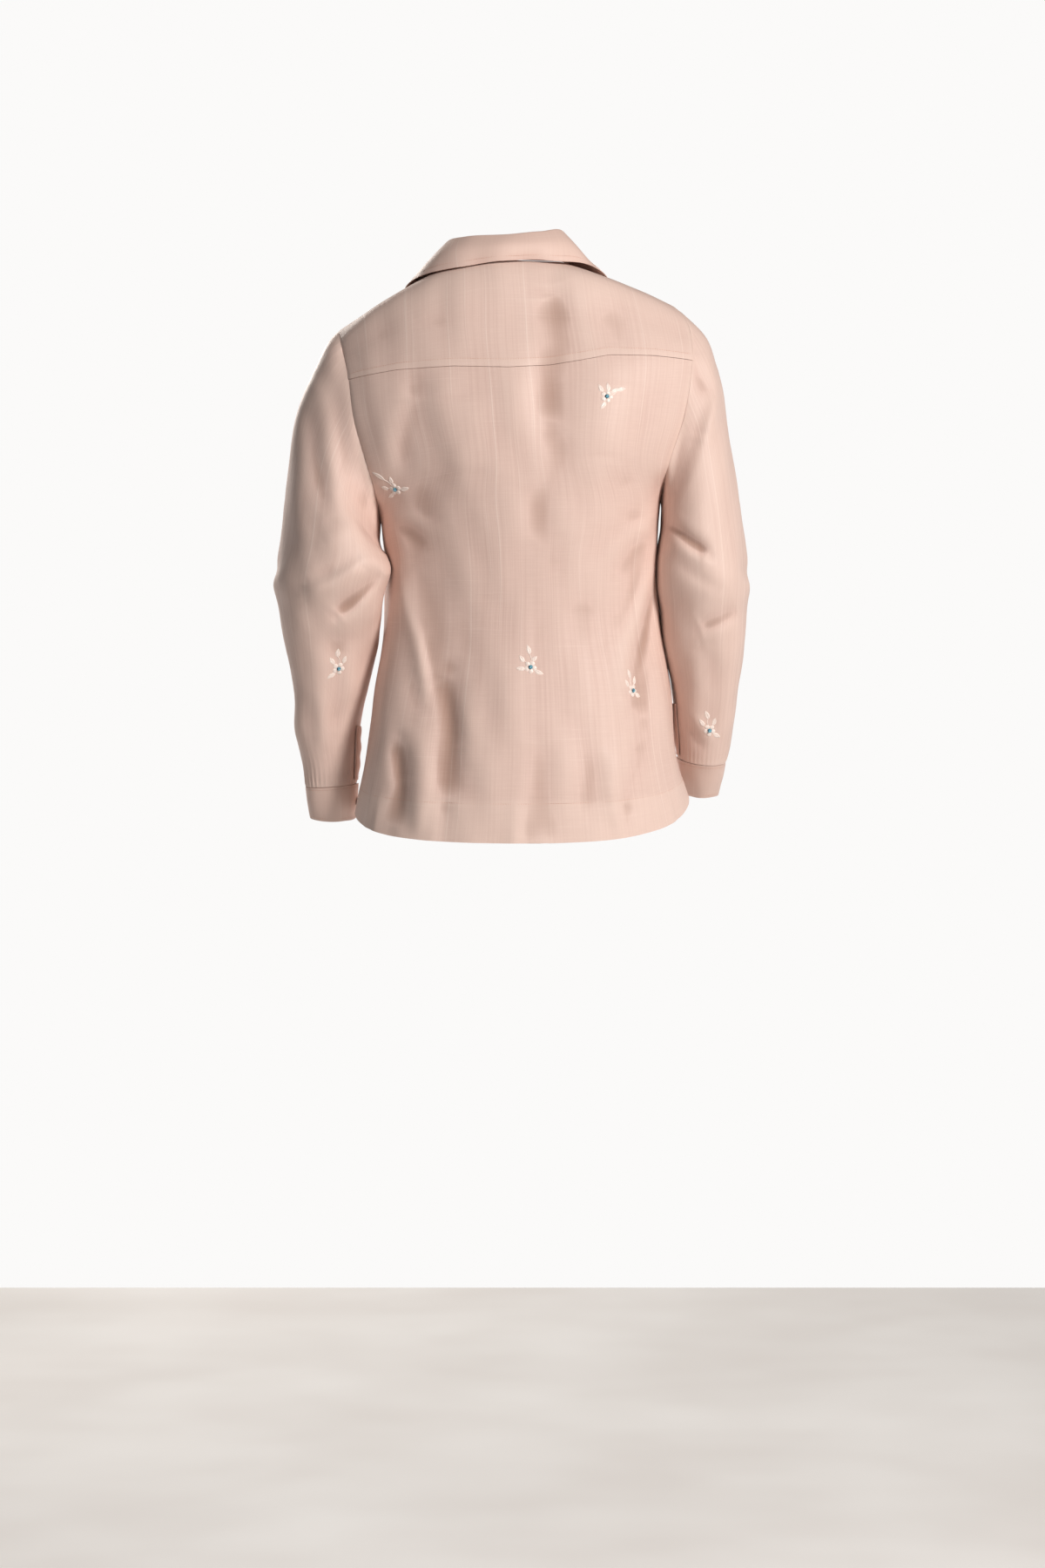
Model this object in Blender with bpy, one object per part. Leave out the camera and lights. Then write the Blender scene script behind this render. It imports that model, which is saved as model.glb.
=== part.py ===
"""A long-sleeved camp-collar barong shirt in sheer blush cloth, held hollow in the shape of a standing wearer.

Every piece that a maker cuts and sews on is its own solid: a cloth wall of one thickness that follows
sections listed in the short tables below. The torso's sections run from the back hem, over the shoulders and
down to the front hem, and each sleeve's run from its armhole to its wrist.

Frame: metres, +Z up, +X to the wearer's left, the wearer faces -Y. The origin is the middle of the neck,
level with the points where the shoulders meet it, which is where the wearer holds the shirt up.
"""

import math
from typing import NamedTuple

import bpy
import numpy as np
from mathutils import Matrix, Vector

# Driving sizes, in metres.
WALL = 0.0015  # cloth, as a wall that a solid can have
SEAM = 0.0005  # clear space between two pieces where they are sewn
LAYER = 0.0004  # clear space between two layers of cloth
LAP_SPACE = 0.0012  # the same where the fronts lap
OVERLAP = 0.017  # how far each front reaches past the centre line
BUTTON_RADIUS = 0.0055
BUTTON_THICK = 0.0022
STEP = 1e-4  # for slopes of the form


class Rib(NamedTuple):
    """A section of the torso, from its middle to an end on each side: the side seam or, above it, the armhole."""

    name: str
    middle: tuple  # x, y, z on the centre line
    left: tuple  # x, y, z of the end on the wearer's left
    right: tuple
    turn: float  # degrees that the cloth turns from the middle to an end
    fall: float  # 1 where the height changes evenly along the rib, more where it changes near the ends


TORSO = (
    Rib("back hem", (-0.022, 0.134, -0.684), (0.182, 0.004, -0.656), (-0.2255, 0.004, -0.637), 88, 2.6),
    Rib("back seat", (-0.022, 0.130, -0.600), (0.1700, 0.006, -0.596), (-0.2125, 0.006, -0.590), 86, 2.0),
    Rib("back hip", (-0.022, 0.120, -0.510), (0.1555, 0.010, -0.508), (-0.2030, 0.010, -0.505), 84, 2.0),
    Rib("back waist", (-0.022, 0.111, -0.425), (0.1445, 0.010, -0.425), (-0.1895, 0.016, -0.420), 80, 2.0),
    Rib("back ribs", (-0.021, 0.114, -0.350), (0.1370, 0.010, -0.355), (-0.1865, 0.018, -0.345), 80, 2.0),
    Rib("back underarm", (-0.019, 0.122, -0.283), (0.1490, 0.008, -0.302), (-0.1915, 0.008, -0.277), 84, 2.0),
    Rib("back armhole", (-0.016, 0.127, -0.225), (0.1560, 0.060, -0.255), (-0.1985, 0.060, -0.232), 62, 2.0),
    Rib("shoulder blades", (-0.012, 0.126, -0.170), (0.1790, 0.067, -0.184), (-0.2155, 0.067, -0.176), 52, 2.0),
    Rib("back yoke", (-0.008, 0.115, -0.117), (0.1865, 0.057, -0.131), (-0.2275, 0.057, -0.108), 48, 1.8),
    Rib("yoke crest", (-0.004, 0.094, -0.060), (0.1930, 0.037, -0.101), (-0.2255, 0.036, -0.074), 42, 1.8),
    Rib("back neck", (0.000, 0.058, 0.012), (0.1965, 0.017, -0.078), (-0.2150, 0.016, -0.050), 34, 1.7),
    Rib("shoulder ridge", (0.000, 0.008, 0.031), (0.1970, -0.002, -0.068), (-0.2050, -0.002, -0.039), 30, 1.2),
    Rib("front neck", (0.000, -0.042, 0.004), (0.1945, -0.020, -0.080), (-0.2100, -0.020, -0.051), 34, 1.3),
    Rib("front yoke", (-0.002, -0.078, -0.045), (0.1885, -0.038, -0.106), (-0.2140, -0.038, -0.080), 44, 1.4),
    Rib("high chest", (-0.004, -0.104, -0.098), (0.1780, -0.052, -0.147), (-0.2080, -0.052, -0.124), 52, 1.6),
    Rib("chest", (-0.008, -0.122, -0.158), (0.1650, -0.058, -0.202), (-0.2000, -0.058, -0.180), 58, 1.8),
    Rib("front armhole", (-0.014, -0.131, -0.222), (0.1530, -0.046, -0.264), (-0.1950, -0.046, -0.240), 68, 2.0),
    Rib("front underarm", (-0.018, -0.131, -0.282), (0.1490, 0.008, -0.302), (-0.1915, 0.008, -0.277), 96, 2.0),
    Rib("front ribs", (-0.021, -0.126, -0.350), (0.1370, 0.010, -0.355), (-0.1865, 0.018, -0.345), 100, 2.0),
    Rib("front waist", (-0.022, -0.121, -0.425), (0.1445, 0.010, -0.425), (-0.1895, 0.016, -0.420), 100, 2.0),
    Rib("front hip", (-0.022, -0.124, -0.508), (0.1555, 0.010, -0.508), (-0.2030, 0.010, -0.505), 96, 2.0),
    Rib("front seat", (-0.022, -0.131, -0.596), (0.1700, 0.006, -0.596), (-0.2125, 0.006, -0.590), 94, 2.0),
    Rib("front hem", (-0.022, -0.136, -0.674), (0.182, 0.004, -0.656), (-0.2255, 0.004, -0.637), 92, 2.6),
)
TORSO_FULLNESS = 0.86  # under 1 makes the ribs squarer than an ellipse

YOKE_SEAM = (  # the back yoke seam: share of the way to an end, height
    (-1.00, -0.1080), (-0.75, -0.1040), (-0.50, -0.1040), (-0.20, -0.1165), (0.00, -0.1195),
    (0.30, -0.1180), (0.65, -0.1215), (1.00, -0.1310),
)
NECK = (  # the neck seam from the centre back to the yoke's front edge: nearest rib, share across, ribs past it
    ("back neck", 0.00, 0.00), ("back neck", 0.12, 0.03), ("back neck", 0.23, 0.16), ("back neck", 0.32, 0.48),
    ("shoulder ridge", 0.375, 0.00), ("front neck", 0.390, 0.00), ("front yoke", 0.375, 0.00),
)
BREAK_PLACE = 0.25  # where the roll line starts: this share of the way from the chest rib to the next


class Turn(NamedTuple):
    """How the collar stands and falls at a share of the neck seam from the centre back to its front end."""

    share: float
    roll: tuple  # x, y, z of the roll line
    reach: float  # how far the fall's edge lies from the neck seam
    clear: float  # and how far it stands off the yoke


COLLAR = (  # from its front end on the wearer's right, share -1, round the back to the other, share 1
    Turn(-1.00, (-0.0720, -0.076, -0.0440), 0.060, 0.0022),
    Turn(-0.78, (-0.0770, -0.034, 0.0160), 0.047, 0.0045),
    Turn(-0.55, (-0.0730, 0.010, 0.0490), 0.026, 0.0090),
    Turn(-0.28, (-0.0440, 0.041, 0.0475), 0.007, 0.0060),
    Turn(0.00, (-0.004, 0.050, 0.0430), 0.008, 0.0030),
    Turn(0.28, (0.0440, 0.039, 0.0415), 0.014, 0.0022),
    Turn(0.55, (0.0690, 0.008, 0.0350), 0.030, 0.0022),
    Turn(0.78, (0.0705, -0.034, 0.0070), 0.048, 0.0022),
    Turn(1.00, (0.0660, -0.076, -0.0480), 0.060, 0.0022),
)


class Fold(NamedTuple):
    """A soft ridge, or where height is negative a trough, along a path of x, z on the side facing out."""

    name: str
    out: float  # 1 for the back of the shirt, -1 for the front
    past: float  # only cloth further out than this is moved
    path: tuple
    half_width: float
    height: float


FOLDS = (
    Fold("spine hollow", 1, 0.03, ((-0.058, -0.010), (-0.066, -0.090), (-0.052, -0.190)), 0.022, -0.006),
    Fold("left blade", 1, 0.03, ((0.060, -0.150), (0.052, -0.250)), 0.034, 0.004),
    Fold("right blade", 1, 0.03, ((-0.130, -0.130), (-0.125, -0.230)), 0.034, 0.004),
    Fold("left tuck", 1, 0.03, ((0.131, -0.362), (0.104, -0.440), (0.096, -0.500)), 0.016, 0.005),
    Fold("left flank trough", 1, 0.03, ((0.064, -0.480), (0.060, -0.560), (0.070, -0.640)), 0.016, -0.007),
    Fold("left hem trough", 1, 0.03, ((0.124, -0.560), (0.122, -0.620), (0.135, -0.670)), 0.013, -0.006),
    Fold("left hem swell", 1, 0.03, ((0.098, -0.540), (0.094, -0.680)), 0.014, 0.004),
    Fold("right panel edge", 1, 0.03, ((-0.186, -0.345), (-0.152, -0.450), (-0.143, -0.515)), 0.015, 0.006),
    Fold("right panel", 1, 0.02, ((-0.172, -0.420), (-0.168, -0.540)), 0.018, -0.005),
    Fold("right hem sweep", 1, 0.03, ((-0.141, -0.570), (-0.130, -0.640)), 0.022, 0.005),
    Fold("hem middle trough", 1, 0.03, ((-0.040, -0.560), (-0.048, -0.690)), 0.026, -0.004),
    Fold("left elbow trough", 1, -0.01, ((0.140, -0.360), (0.168, -0.385), (0.200, -0.414)), 0.012, -0.006),
    Fold("left elbow ridge", 1, -0.01, ((0.165, -0.352), (0.205, -0.378), (0.240, -0.392)), 0.014, 0.004),
    Fold("left arm trough", 1, 0.0, ((0.236, -0.150), (0.228, -0.230), (0.206, -0.300)), 0.014, -0.004),
    Fold("right cap ridge", 1, 0.0, ((-0.236, -0.087), (-0.262, -0.142), (-0.238, -0.200)), 0.014, 0.004),
    Fold("right arm crease", 1, -0.01, ((-0.192, -0.305), (-0.218, -0.322), (-0.246, -0.342)), 0.010, -0.006),
    Fold("right forearm trough", 1, -0.02, ((-0.286, -0.408), (-0.262, -0.420), (-0.236, -0.430)), 0.016, -0.004),
    Fold("front left fall", -1, 0.04, ((0.092, -0.190), (0.100, -0.420), (0.110, -0.660)), 0.028, 0.005),
    Fold("front left trough", -1, 0.04, ((0.050, -0.420), (0.058, -0.670)), 0.022, -0.006),
    Fold("front right fall", -1, 0.04, ((-0.120, -0.180), (-0.138, -0.430), (-0.140, -0.650)), 0.028, 0.005),
    Fold("front right trough", -1, 0.04, ((-0.096, -0.450), (-0.092, -0.670)), 0.022, -0.006),
)
FOLD_EDGE = 0.03  # how softly a fold fades out towards its past


class Ring(NamedTuple):
    """A section of a sleeve or cuff: its outermost and innermost points and how far it reaches back and front."""

    name: str
    outer: tuple  # x, y, z on the side away from the torso
    inner: tuple
    back: float  # half depths
    front: float
    tip: float  # how much higher the back stands than the middle


LEFT_SLEEVE = (
    Ring("crown", (0.2135, 0.001, -0.086), (0.1500, 0.007, -0.3120), 0.064, 0.058, 0.000),
    Ring("cap", (0.2275, 0.002, -0.113), (0.1505, 0.006, -0.3210), 0.066, 0.060, 0.000),
    Ring("head", (0.2500, 0.004, -0.173), (0.1475, 0.016, -0.3340), 0.071, 0.063, 0.000),
    Ring("biceps", (0.2620, 0.010, -0.252), (0.1415, 0.030, -0.3470), 0.074, 0.062, 0.000),
    Ring("upper arm", (0.2710, 0.018, -0.318), (0.1355, 0.046, -0.3630), 0.073, 0.060, 0.000),
    Ring("elbow", (0.2780, 0.028, -0.372), (0.1440, 0.042, -0.3880), 0.068, 0.059, 0.003),
    Ring("crook", (0.2715, 0.022, -0.412), (0.1490, 0.024, -0.4160), 0.064, 0.060, 0.005),
    Ring("forearm", (0.2635, 0.010, -0.456), (0.1545, -0.010, -0.4550), 0.060, 0.056, 0.006),
    Ring("mid forearm", (0.2555, -0.005, -0.508), (0.1650, -0.024, -0.5020), 0.052, 0.049, 0.005),
    Ring("low forearm", (0.2568, -0.022, -0.558), (0.1758, -0.040, -0.5510), 0.044, 0.041, 0.003),
    Ring("gathers", (0.2474, -0.041, -0.604), (0.1790, -0.053, -0.5980), 0.036, 0.034, 0.000),
    Ring("cuff seam", (0.2452, -0.048, -0.625), (0.1798, -0.059, -0.6210), 0.032, 0.031, -0.002),
)
RIGHT_SLEEVE = (
    Ring("crown", (-0.2460, 0.001, -0.076), (-0.1930, 0.007, -0.2870), 0.064, 0.058, 0.000),
    Ring("cap", (-0.2600, 0.002, -0.112), (-0.1930, 0.006, -0.2960), 0.066, 0.060, 0.000),
    Ring("head", (-0.2720, 0.004, -0.178), (-0.1925, 0.008, -0.3110), 0.071, 0.063, 0.000),
    Ring("biceps", (-0.2835, 0.010, -0.260), (-0.1915, 0.012, -0.3290), 0.074, 0.062, 0.000),
    Ring("upper arm", (-0.2930, 0.018, -0.326), (-0.1905, 0.016, -0.3500), 0.072, 0.060, 0.000),
    Ring("elbow", (-0.2975, 0.026, -0.370), (-0.1915, 0.018, -0.3780), 0.066, 0.058, 0.002),
    Ring("crook", (-0.2955, 0.020, -0.412), (-0.1950, 0.006, -0.4080), 0.061, 0.057, 0.003),
    Ring("forearm", (-0.2935, 0.008, -0.458), (-0.1970, -0.010, -0.4520), 0.055, 0.052, 0.003),
    Ring("mid forearm", (-0.2870, -0.008, -0.508), (-0.2045, -0.026, -0.5000), 0.048, 0.045, 0.002),
    Ring("low forearm", (-0.2815, -0.026, -0.556), (-0.2105, -0.042, -0.5460), 0.042, 0.039, 0.000),
    Ring("gathers", (-0.2785, -0.036, -0.578), (-0.2125, -0.051, -0.5680), 0.037, 0.035, -0.004),
    Ring("cuff seam", (-0.2750, -0.043, -0.594), (-0.2145, -0.058, -0.5880), 0.032, 0.031, -0.007),
)
LEFT_CUFF = (
    Ring("cuff middle", (0.2425, -0.054, -0.645), (0.1812, -0.065, -0.643), 0.0315, 0.0305, -0.003),
    Ring("cuff edge", (0.2385, -0.061, -0.664), (0.1850, -0.071, -0.665), 0.0305, 0.0300, -0.004),
)
RIGHT_CUFF = (
    Ring("cuff middle", (-0.2720, -0.060, -0.616), (-0.2175, -0.074, -0.611), 0.0305, 0.0300, -0.005),
    Ring("cuff edge", (-0.2665, -0.078, -0.637), (-0.2225, -0.091, -0.635), 0.0285, 0.0285, -0.004),
)


# ---- smooth curves and surfaces ----


def spline(rows, knots, at):
    """Points on smooth curves, one for each column of rows, each at its own place along the knots."""
    step = np.diff(knots)[:, None, None]
    slope = np.diff(rows, axis=0) / step
    tangent = np.empty_like(rows)
    tangent[1:-1] = (slope[:-1] * step[1:] + slope[1:] * step[:-1]) / (step[:-1] + step[1:])
    tangent[0] = 1.5 * slope[0] - 0.5 * tangent[1]
    tangent[-1] = 1.5 * slope[-1] - 0.5 * tangent[-2]
    k = np.clip(np.searchsorted(knots, at, side="right") - 1, 0, len(knots) - 2)
    column = np.arange(len(at))
    h = (knots[k + 1] - knots[k])[:, None]
    t = ((at - knots[k]) / (knots[k + 1] - knots[k]))[:, None]
    return (
        (2 * t**3 - 3 * t**2 + 1) * rows[k, column]
        + (t**3 - 2 * t**2 + t) * h * tangent[k, column]
        + (3 * t**2 - 2 * t**3) * rows[k + 1, column]
        + (t**3 - t**2) * h * tangent[k + 1, column]
    )


def unit(vectors):
    return vectors / np.maximum(np.linalg.norm(vectors, axis=-1, keepdims=True), 1e-12)


def folds(points):
    """How far the folds move each point."""
    move = np.zeros_like(points)
    flat = points[..., [0, 2]]
    for f in FOLDS:
        path = np.array(f.path)
        lengths = np.linalg.norm(np.diff(path, axis=0), axis=1)
        near = np.full(points.shape[:-1], np.inf)
        fade = np.zeros(points.shape[:-1])
        for i, length in enumerate(lengths):
            along = (path[i + 1] - path[i]) / length
            t = np.clip((flat - path[i]) @ along / length, 0, 1)
            gap = np.linalg.norm(flat - path[i] - t[..., None] * along * length, axis=-1)
            share = (lengths[:i].sum() + t * length) / lengths.sum()
            swell = 1 - (2 * share - 1) ** 4
            closer = gap < near
            near = np.where(closer, gap, near)
            fade = np.where(closer, swell, fade)
        facing = np.clip((points[..., 1] * f.out - f.past) / FOLD_EDGE, 0, 1)
        facing = facing * facing * (3 - 2 * facing)
        # Past either end the fold dies away as fast as it does to its sides.
        tip = np.minimum(
            np.linalg.norm(flat - path[0], axis=-1), np.linalg.norm(flat - path[-1], axis=-1)
        )
        body = np.maximum(fade, 0.35 * np.exp(-((tip / f.half_width) ** 2)))
        move[..., 1] += f.out * f.height * facing * body * np.exp(-((near / f.half_width) ** 2))
    return move


def torso_knots():
    """How far each rib is along the cloth from the back hem. Below the underarms only the side seam is
    measured, so the back and the front divide it alike."""
    ends = np.array([(np.array(r.left) + np.array(r.right)) / 2 for r in TORSO])
    middles = np.array([r.middle for r in TORSO])
    low, high = rib_number("back underarm"), rib_number("front underarm")
    steps = []
    for i in range(len(TORSO) - 1):
        at_end = np.linalg.norm(ends[i + 1] - ends[i])
        at_middle = np.linalg.norm(middles[i + 1] - middles[i])
        steps.append((at_end + at_middle) / 2 if low <= i < high else at_end)
    return np.concatenate([[0.0], np.cumsum(steps)])


def rib_number(name):
    return [r.name for r in TORSO].index(name)


def rib_points(u):
    """A point on every rib at each share u of the way to its end: 1 is the wearer's left, -1 the right."""
    side = u >= 0
    s = np.abs(u)
    rows = []
    for r in TORSO:
        middle = np.array(r.middle)
        end = np.where(side[:, None], np.array(r.left), np.array(r.right))
        whole = math.radians(r.turn)
        across = np.sin(s * whole) / math.sin(whole)
        rise = (np.cos(s * whole) - math.cos(whole)) / (1 - math.cos(whole))
        rise = np.clip(rise, 0, None) ** TORSO_FULLNESS
        x = middle[0] + (end[:, 0] - middle[0]) * across
        y = end[:, 1] + (middle[1] - end[:, 1]) * rise
        z = middle[2] + (end[:, 2] - middle[2]) * s**r.fall
        rows.append(np.stack([x, y, z], axis=1))
    return np.array(rows)


KNOTS = torso_knots()
UNDER_BACK = KNOTS[rib_number("back underarm")]
UNDER_FRONT = KNOTS[rib_number("front underarm")]
RIDGE = KNOTS[rib_number("shoulder ridge")]
HEM_FRONT = KNOTS[-1]


def bare_torso(u, v):
    """Points of the torso's outer face before its folds.
    u is as for rib_points, and v is metres along the cloth from the back hem."""
    u, v = np.broadcast_arrays(np.asarray(u, float), np.asarray(v, float))
    shape = u.shape
    u, v = u.ravel(), v.ravel()
    points = spline(rib_points(u), KNOTS, v)
    # The back and the front meet along one side seam, halfway between where each would put it.
    low = (v < UNDER_BACK) | (v > UNDER_FRONT)
    if low.any():
        end = np.where(u[low] >= 0, 1.0, -1.0)
        rows = rib_points(end)
        here = spline(rows, KNOTS, v[low])
        other = spline(rows, KNOTS, HEM_FRONT - v[low])
        points[low] += (np.abs(u[low]) ** 6)[:, None] * (other - here) / 2
    return points.reshape(*shape, 3)


def torso(u, v):
    """Points of the torso's outer face, as for bare_torso."""
    points = bare_torso(u, v)
    return points + folds(points)


def torso_normals(u, v):
    """Outward directions of the torso's face."""
    u, v = np.broadcast_arrays(np.asarray(u, float), np.asarray(v, float))
    du = torso(np.minimum(u + STEP, 1), v) - torso(np.maximum(u - STEP, -1), v)
    dv = torso(u, np.minimum(v + STEP, HEM_FRONT)) - torso(u, np.maximum(v - STEP, 0))
    return unit(np.cross(dv, du))


def armhole_places(share):
    """Places v round an armhole: 0 is the shoulder's tip, 0.5 the underarm and 1 the tip again, back half first."""
    places = np.linspace(UNDER_BACK, UNDER_FRONT, 400)
    loop = torso(np.ones_like(places), places)
    run = np.concatenate([[0], np.cumsum(np.linalg.norm(np.diff(loop, axis=0), axis=1))])
    tip = np.interp(RIDGE, places, run)
    share = np.asarray(share) % 1.0
    along = np.where(share <= 0.5, tip * (1 - 2 * share), run[-1] - (run[-1] - tip) * (2 * share - 1))
    return np.interp(along, run, places)


def ring_points(rings, share):
    """A point on every ring at each share of the way round: 0 is outermost, 0.25 the back, 0.5 innermost."""
    share = np.asarray(share)
    rows = []
    for r in rings:
        outer, inner = np.array(r.outer), np.array(r.inner)
        # Even steps round a long ellipse take larger angles at its ends.
        half, depths = np.linalg.norm(outer - inner) / 2, (r.back + r.front) / 2
        angle = 2 * np.pi * share + 0.5 * (half - depths) / (half + depths) * np.sin(4 * np.pi * share)
        c, s = np.cos(angle)[:, None], np.sin(angle)[:, None]
        depth = np.where(s >= 0, r.back, r.front)
        reach = np.array([0.0, 1.0, 0.0]) * depth + np.array([0.0, 0.0, r.tip])
        rows.append((outer + inner) / 2 + (outer - inner) / 2 * c + reach * s)
    return np.array(rows)


def tube(rows, share, v):
    """Points of a tube through rows(share), with v from 0 to 1 along it."""
    share, v = np.broadcast_arrays(np.asarray(share, float), np.asarray(v, float))
    shape = share.shape
    share, v = share.ravel(), v.ravel()
    few = rows(np.linspace(0, 1, 24, endpoint=False))
    steps = np.linalg.norm(np.diff(few, axis=0), axis=2).mean(axis=1)
    knots = np.concatenate([[0], np.cumsum(steps)])
    points = spline(rows(share), knots / knots[-1], v).reshape(*shape, 3)
    return points + folds(points)


def tube_normals(rows, share, v, side):
    share, v = np.broadcast_arrays(np.asarray(share, float), np.asarray(v, float))
    ds = tube(rows, share + STEP, v) - tube(rows, share - STEP, v)
    dv = tube(rows, share, np.minimum(v + STEP, 1)) - tube(rows, share, np.maximum(v - STEP, 0))
    return unit(np.cross(dv, ds)) * side


def sleeve_rows(side):
    """The rows of a sleeve: the armhole that it is sewn into, then its rings. side is 1 for the wearer's left."""
    rings = LEFT_SLEEVE if side > 0 else RIGHT_SLEEVE

    def rows(share):
        armhole = bare_torso(np.full(len(share), float(side)), armhole_places(share))
        return np.concatenate([armhole[None], ring_points(rings, share)])

    return rows


# ---- walls of cloth ----


def wall(name, outer, inner, closed=False, colour="blush"):
    """A closed solid between two grids of points, rows by columns. closed joins the last column to the first."""
    rows, columns = outer.shape[:2]
    count = rows * columns
    points = np.concatenate([outer.reshape(-1, 3), inner.reshape(-1, 3)])
    down = outer[1:, :-1] - outer[:-1, :-1]
    along = outer[:-1, 1:] - outer[:-1, :-1]
    out = (outer - inner)[:-1, :-1]
    flip = np.einsum("ijk,ijk->", np.cross(down, along), out) < 0
    faces = []

    def face(*corners):
        faces.append(corners[::-1] if flip else corners)

    last = columns if closed else columns - 1
    for i in range(rows - 1):
        for j in range(last):
            a, b = i * columns + j, i * columns + (j + 1) % columns
            c, d = b + columns, a + columns
            # Both sides of the wall are cut along the same diagonal, so that they stay parallel.
            face(a, d, c)
            face(a, c, b)
            face(a + count, c + count, d + count)
            face(a + count, b + count, c + count)
    for j in range(last):
        a, b = j, (j + 1) % columns
        face(a, b, b + count, a + count)
        a, b = a + (rows - 1) * columns, b + (rows - 1) * columns
        face(b, a, a + count, b + count)
    if not closed:
        for i in range(rows - 1):
            a, b = i * columns, (i + 1) * columns
            face(b, a, a + count, b + count)
            a, b = a + columns - 1, b + columns - 1
            face(a, b, b + count, a + count)
    mesh = bpy.data.meshes.new(name)
    mesh.from_pydata([tuple(p) for p in points], [], faces)
    return add(name, mesh, colour)


def add(name, mesh, colour):
    mesh.shade_smooth()
    mesh.set_sharp_from_angle(angle=math.radians(50))
    mesh.materials.append(MATERIALS[colour])
    obj = bpy.data.objects.new(name, mesh)
    bpy.context.scene.collection.objects.link(obj)
    return obj


def pulled(grid, first=True, last=True, sides=True):
    """The grid with its border drawn in by half a seam's clear space."""
    g = grid.copy()
    if first:
        g[0] += unit(grid[1] - grid[0]) * SEAM / 2
    if last:
        g[-1] += unit(grid[-2] - grid[-1]) * SEAM / 2
    if sides:
        g[:, 0] += unit(grid[:, 1] - grid[:, 0]) * SEAM / 2
        g[:, -1] += unit(grid[:, -2] - grid[:, -1]) * SEAM / 2
    return g


def shared(own, other):
    """The step through a seam's thickness that two meeting pieces both take, so that neither enters the other.
    Where they fold back on each other each keeps its own, and their edges are pressed thin."""
    dot = np.einsum("...k,...k->...", own, other)
    reach = np.minimum(1 / np.sqrt(np.maximum((1 + dot) / 2, 0.1)), 1.25)[..., None]
    fold = np.clip((0.3 - dot) / 1.0, 0, 1)[..., None]
    thin = np.clip((dot[..., None] + 0.2) / 0.9, 0.4, 1)
    return unit(unit(own + other) * (1 - fold) + own * fold) * (reach * (1 - fold) + fold) * thin


# ---- where the pieces meet ----


def solve_height(u, z, low, high):
    """Where along the cloth the torso reaches height z, between two places."""
    low, high = np.full(len(u), low), np.full(len(u), high)
    for _ in range(40):
        middle = (low + high) / 2
        below = bare_torso(u, middle)[:, 2] < z
        low, high = np.where(below, middle, low), np.where(below, high, middle)
    return (low + high) / 2


def smooth_path(points, at):
    """Points on a smooth curve through a table of points, at shares of its number of steps."""
    rows = np.repeat(np.array(points, float)[:, None], len(at), axis=1)
    return spline(rows, np.linspace(0, 1, len(points)), np.asarray(at, float))


def neck_path(count):
    """u, v along the wearer's left half of the neck seam, from the centre back to the yoke's front edge."""
    table = []
    for name, u, past in NECK:
        k = rib_number(name)
        table.append((u, KNOTS[k] + past * (KNOTS[min(k + 1, len(KNOTS) - 1)] - KNOTS[k]), 0.0))
    return smooth_path(table, np.linspace(0, 1, count))[:, :2]


LOW_ROWS = 10  # rows of cells from the hem to the underarm
UP_THE_BACK = np.array([0.0, 0.10, 0.22, 0.40, 0.60, 0.80, 1.0])  # from the underarm to the yoke seam
YOKE_ROWS = 8  # over the shoulder
DOWN_THE_FRONT = np.array([0.0, 0.18, 0.36, 0.53, 0.69, 0.81, 0.91, 1.0])  # from the yoke to the underarm
EDGE_COLUMNS = 6  # along each front yoke seam
NECK_COLUMNS = 6  # along each half of the neck seam

FRONT_YOKE = KNOTS[rib_number("front yoke")]
BREAK = KNOTS[rib_number("chest")] + BREAK_PLACE * (
    KNOTS[rib_number("chest") + 1] - KNOTS[rib_number("chest")]
)
NECK_STARTS = (0.09, 0.18, 0.27, 0.35, 0.46, 0.58)  # where the columns that reach the neck seam start, across
COLUMNS = np.concatenate([[0.0], NECK_STARTS, np.linspace(NECK_STARTS[-1], 1, EDGE_COLUMNS + 1)[1:]])
COLUMNS = np.concatenate([-COLUMNS[:0:-1], COLUMNS])
YOKE_LINE = solve_height(
    COLUMNS, np.interp(COLUMNS, *np.array(YOKE_SEAM).T), KNOTS[rib_number("shoulder blades")],
    KNOTS[rib_number("back neck")],
)


def top_path():
    """u, v along the yoke's top border from the right armhole to the left: seam, neck, seam."""
    half = neck_path(NECK_COLUMNS + 1)
    corner = half[-1, 0]
    edge = np.stack([np.linspace(corner, 1, EDGE_COLUMNS + 1)[1:], np.full(EDGE_COLUMNS, FRONT_YOKE)], axis=1)
    left = np.concatenate([half, edge])
    right = left[:0:-1] * (-1, 1)
    return np.concatenate([right, left])


def armhole_stations(side):
    """Places v round an armhole where the pieces there have their corners, from the underarm up the back."""
    seam = YOKE_LINE[-1 if side > 0 else 0]
    back = UNDER_BACK + UP_THE_BACK * (seam - UNDER_BACK)
    yoke = np.linspace(seam, FRONT_YOKE, YOKE_ROWS + 1)
    front = FRONT_YOKE + DOWN_THE_FRONT * (UNDER_FRONT - FRONT_YOKE)
    return np.concatenate([back, yoke[1:], front[1:-1]])


def armhole_shares(side):
    """The same stations as shares of the way round, for a sleeve's columns."""
    fine = np.linspace(0, 1, 801)[:-1]
    places = armhole_places(fine)
    places[0] = RIDGE
    back = fine <= 0.5
    stations = armhole_stations(side)
    shares = np.where(
        stations <= RIDGE,
        np.interp(stations, places[back][::-1], fine[back][::-1]),
        np.interp(stations, places[~back][::-1], fine[~back][::-1]),
    )
    shares[0] = 0.5
    return np.sort(shares)


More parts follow.
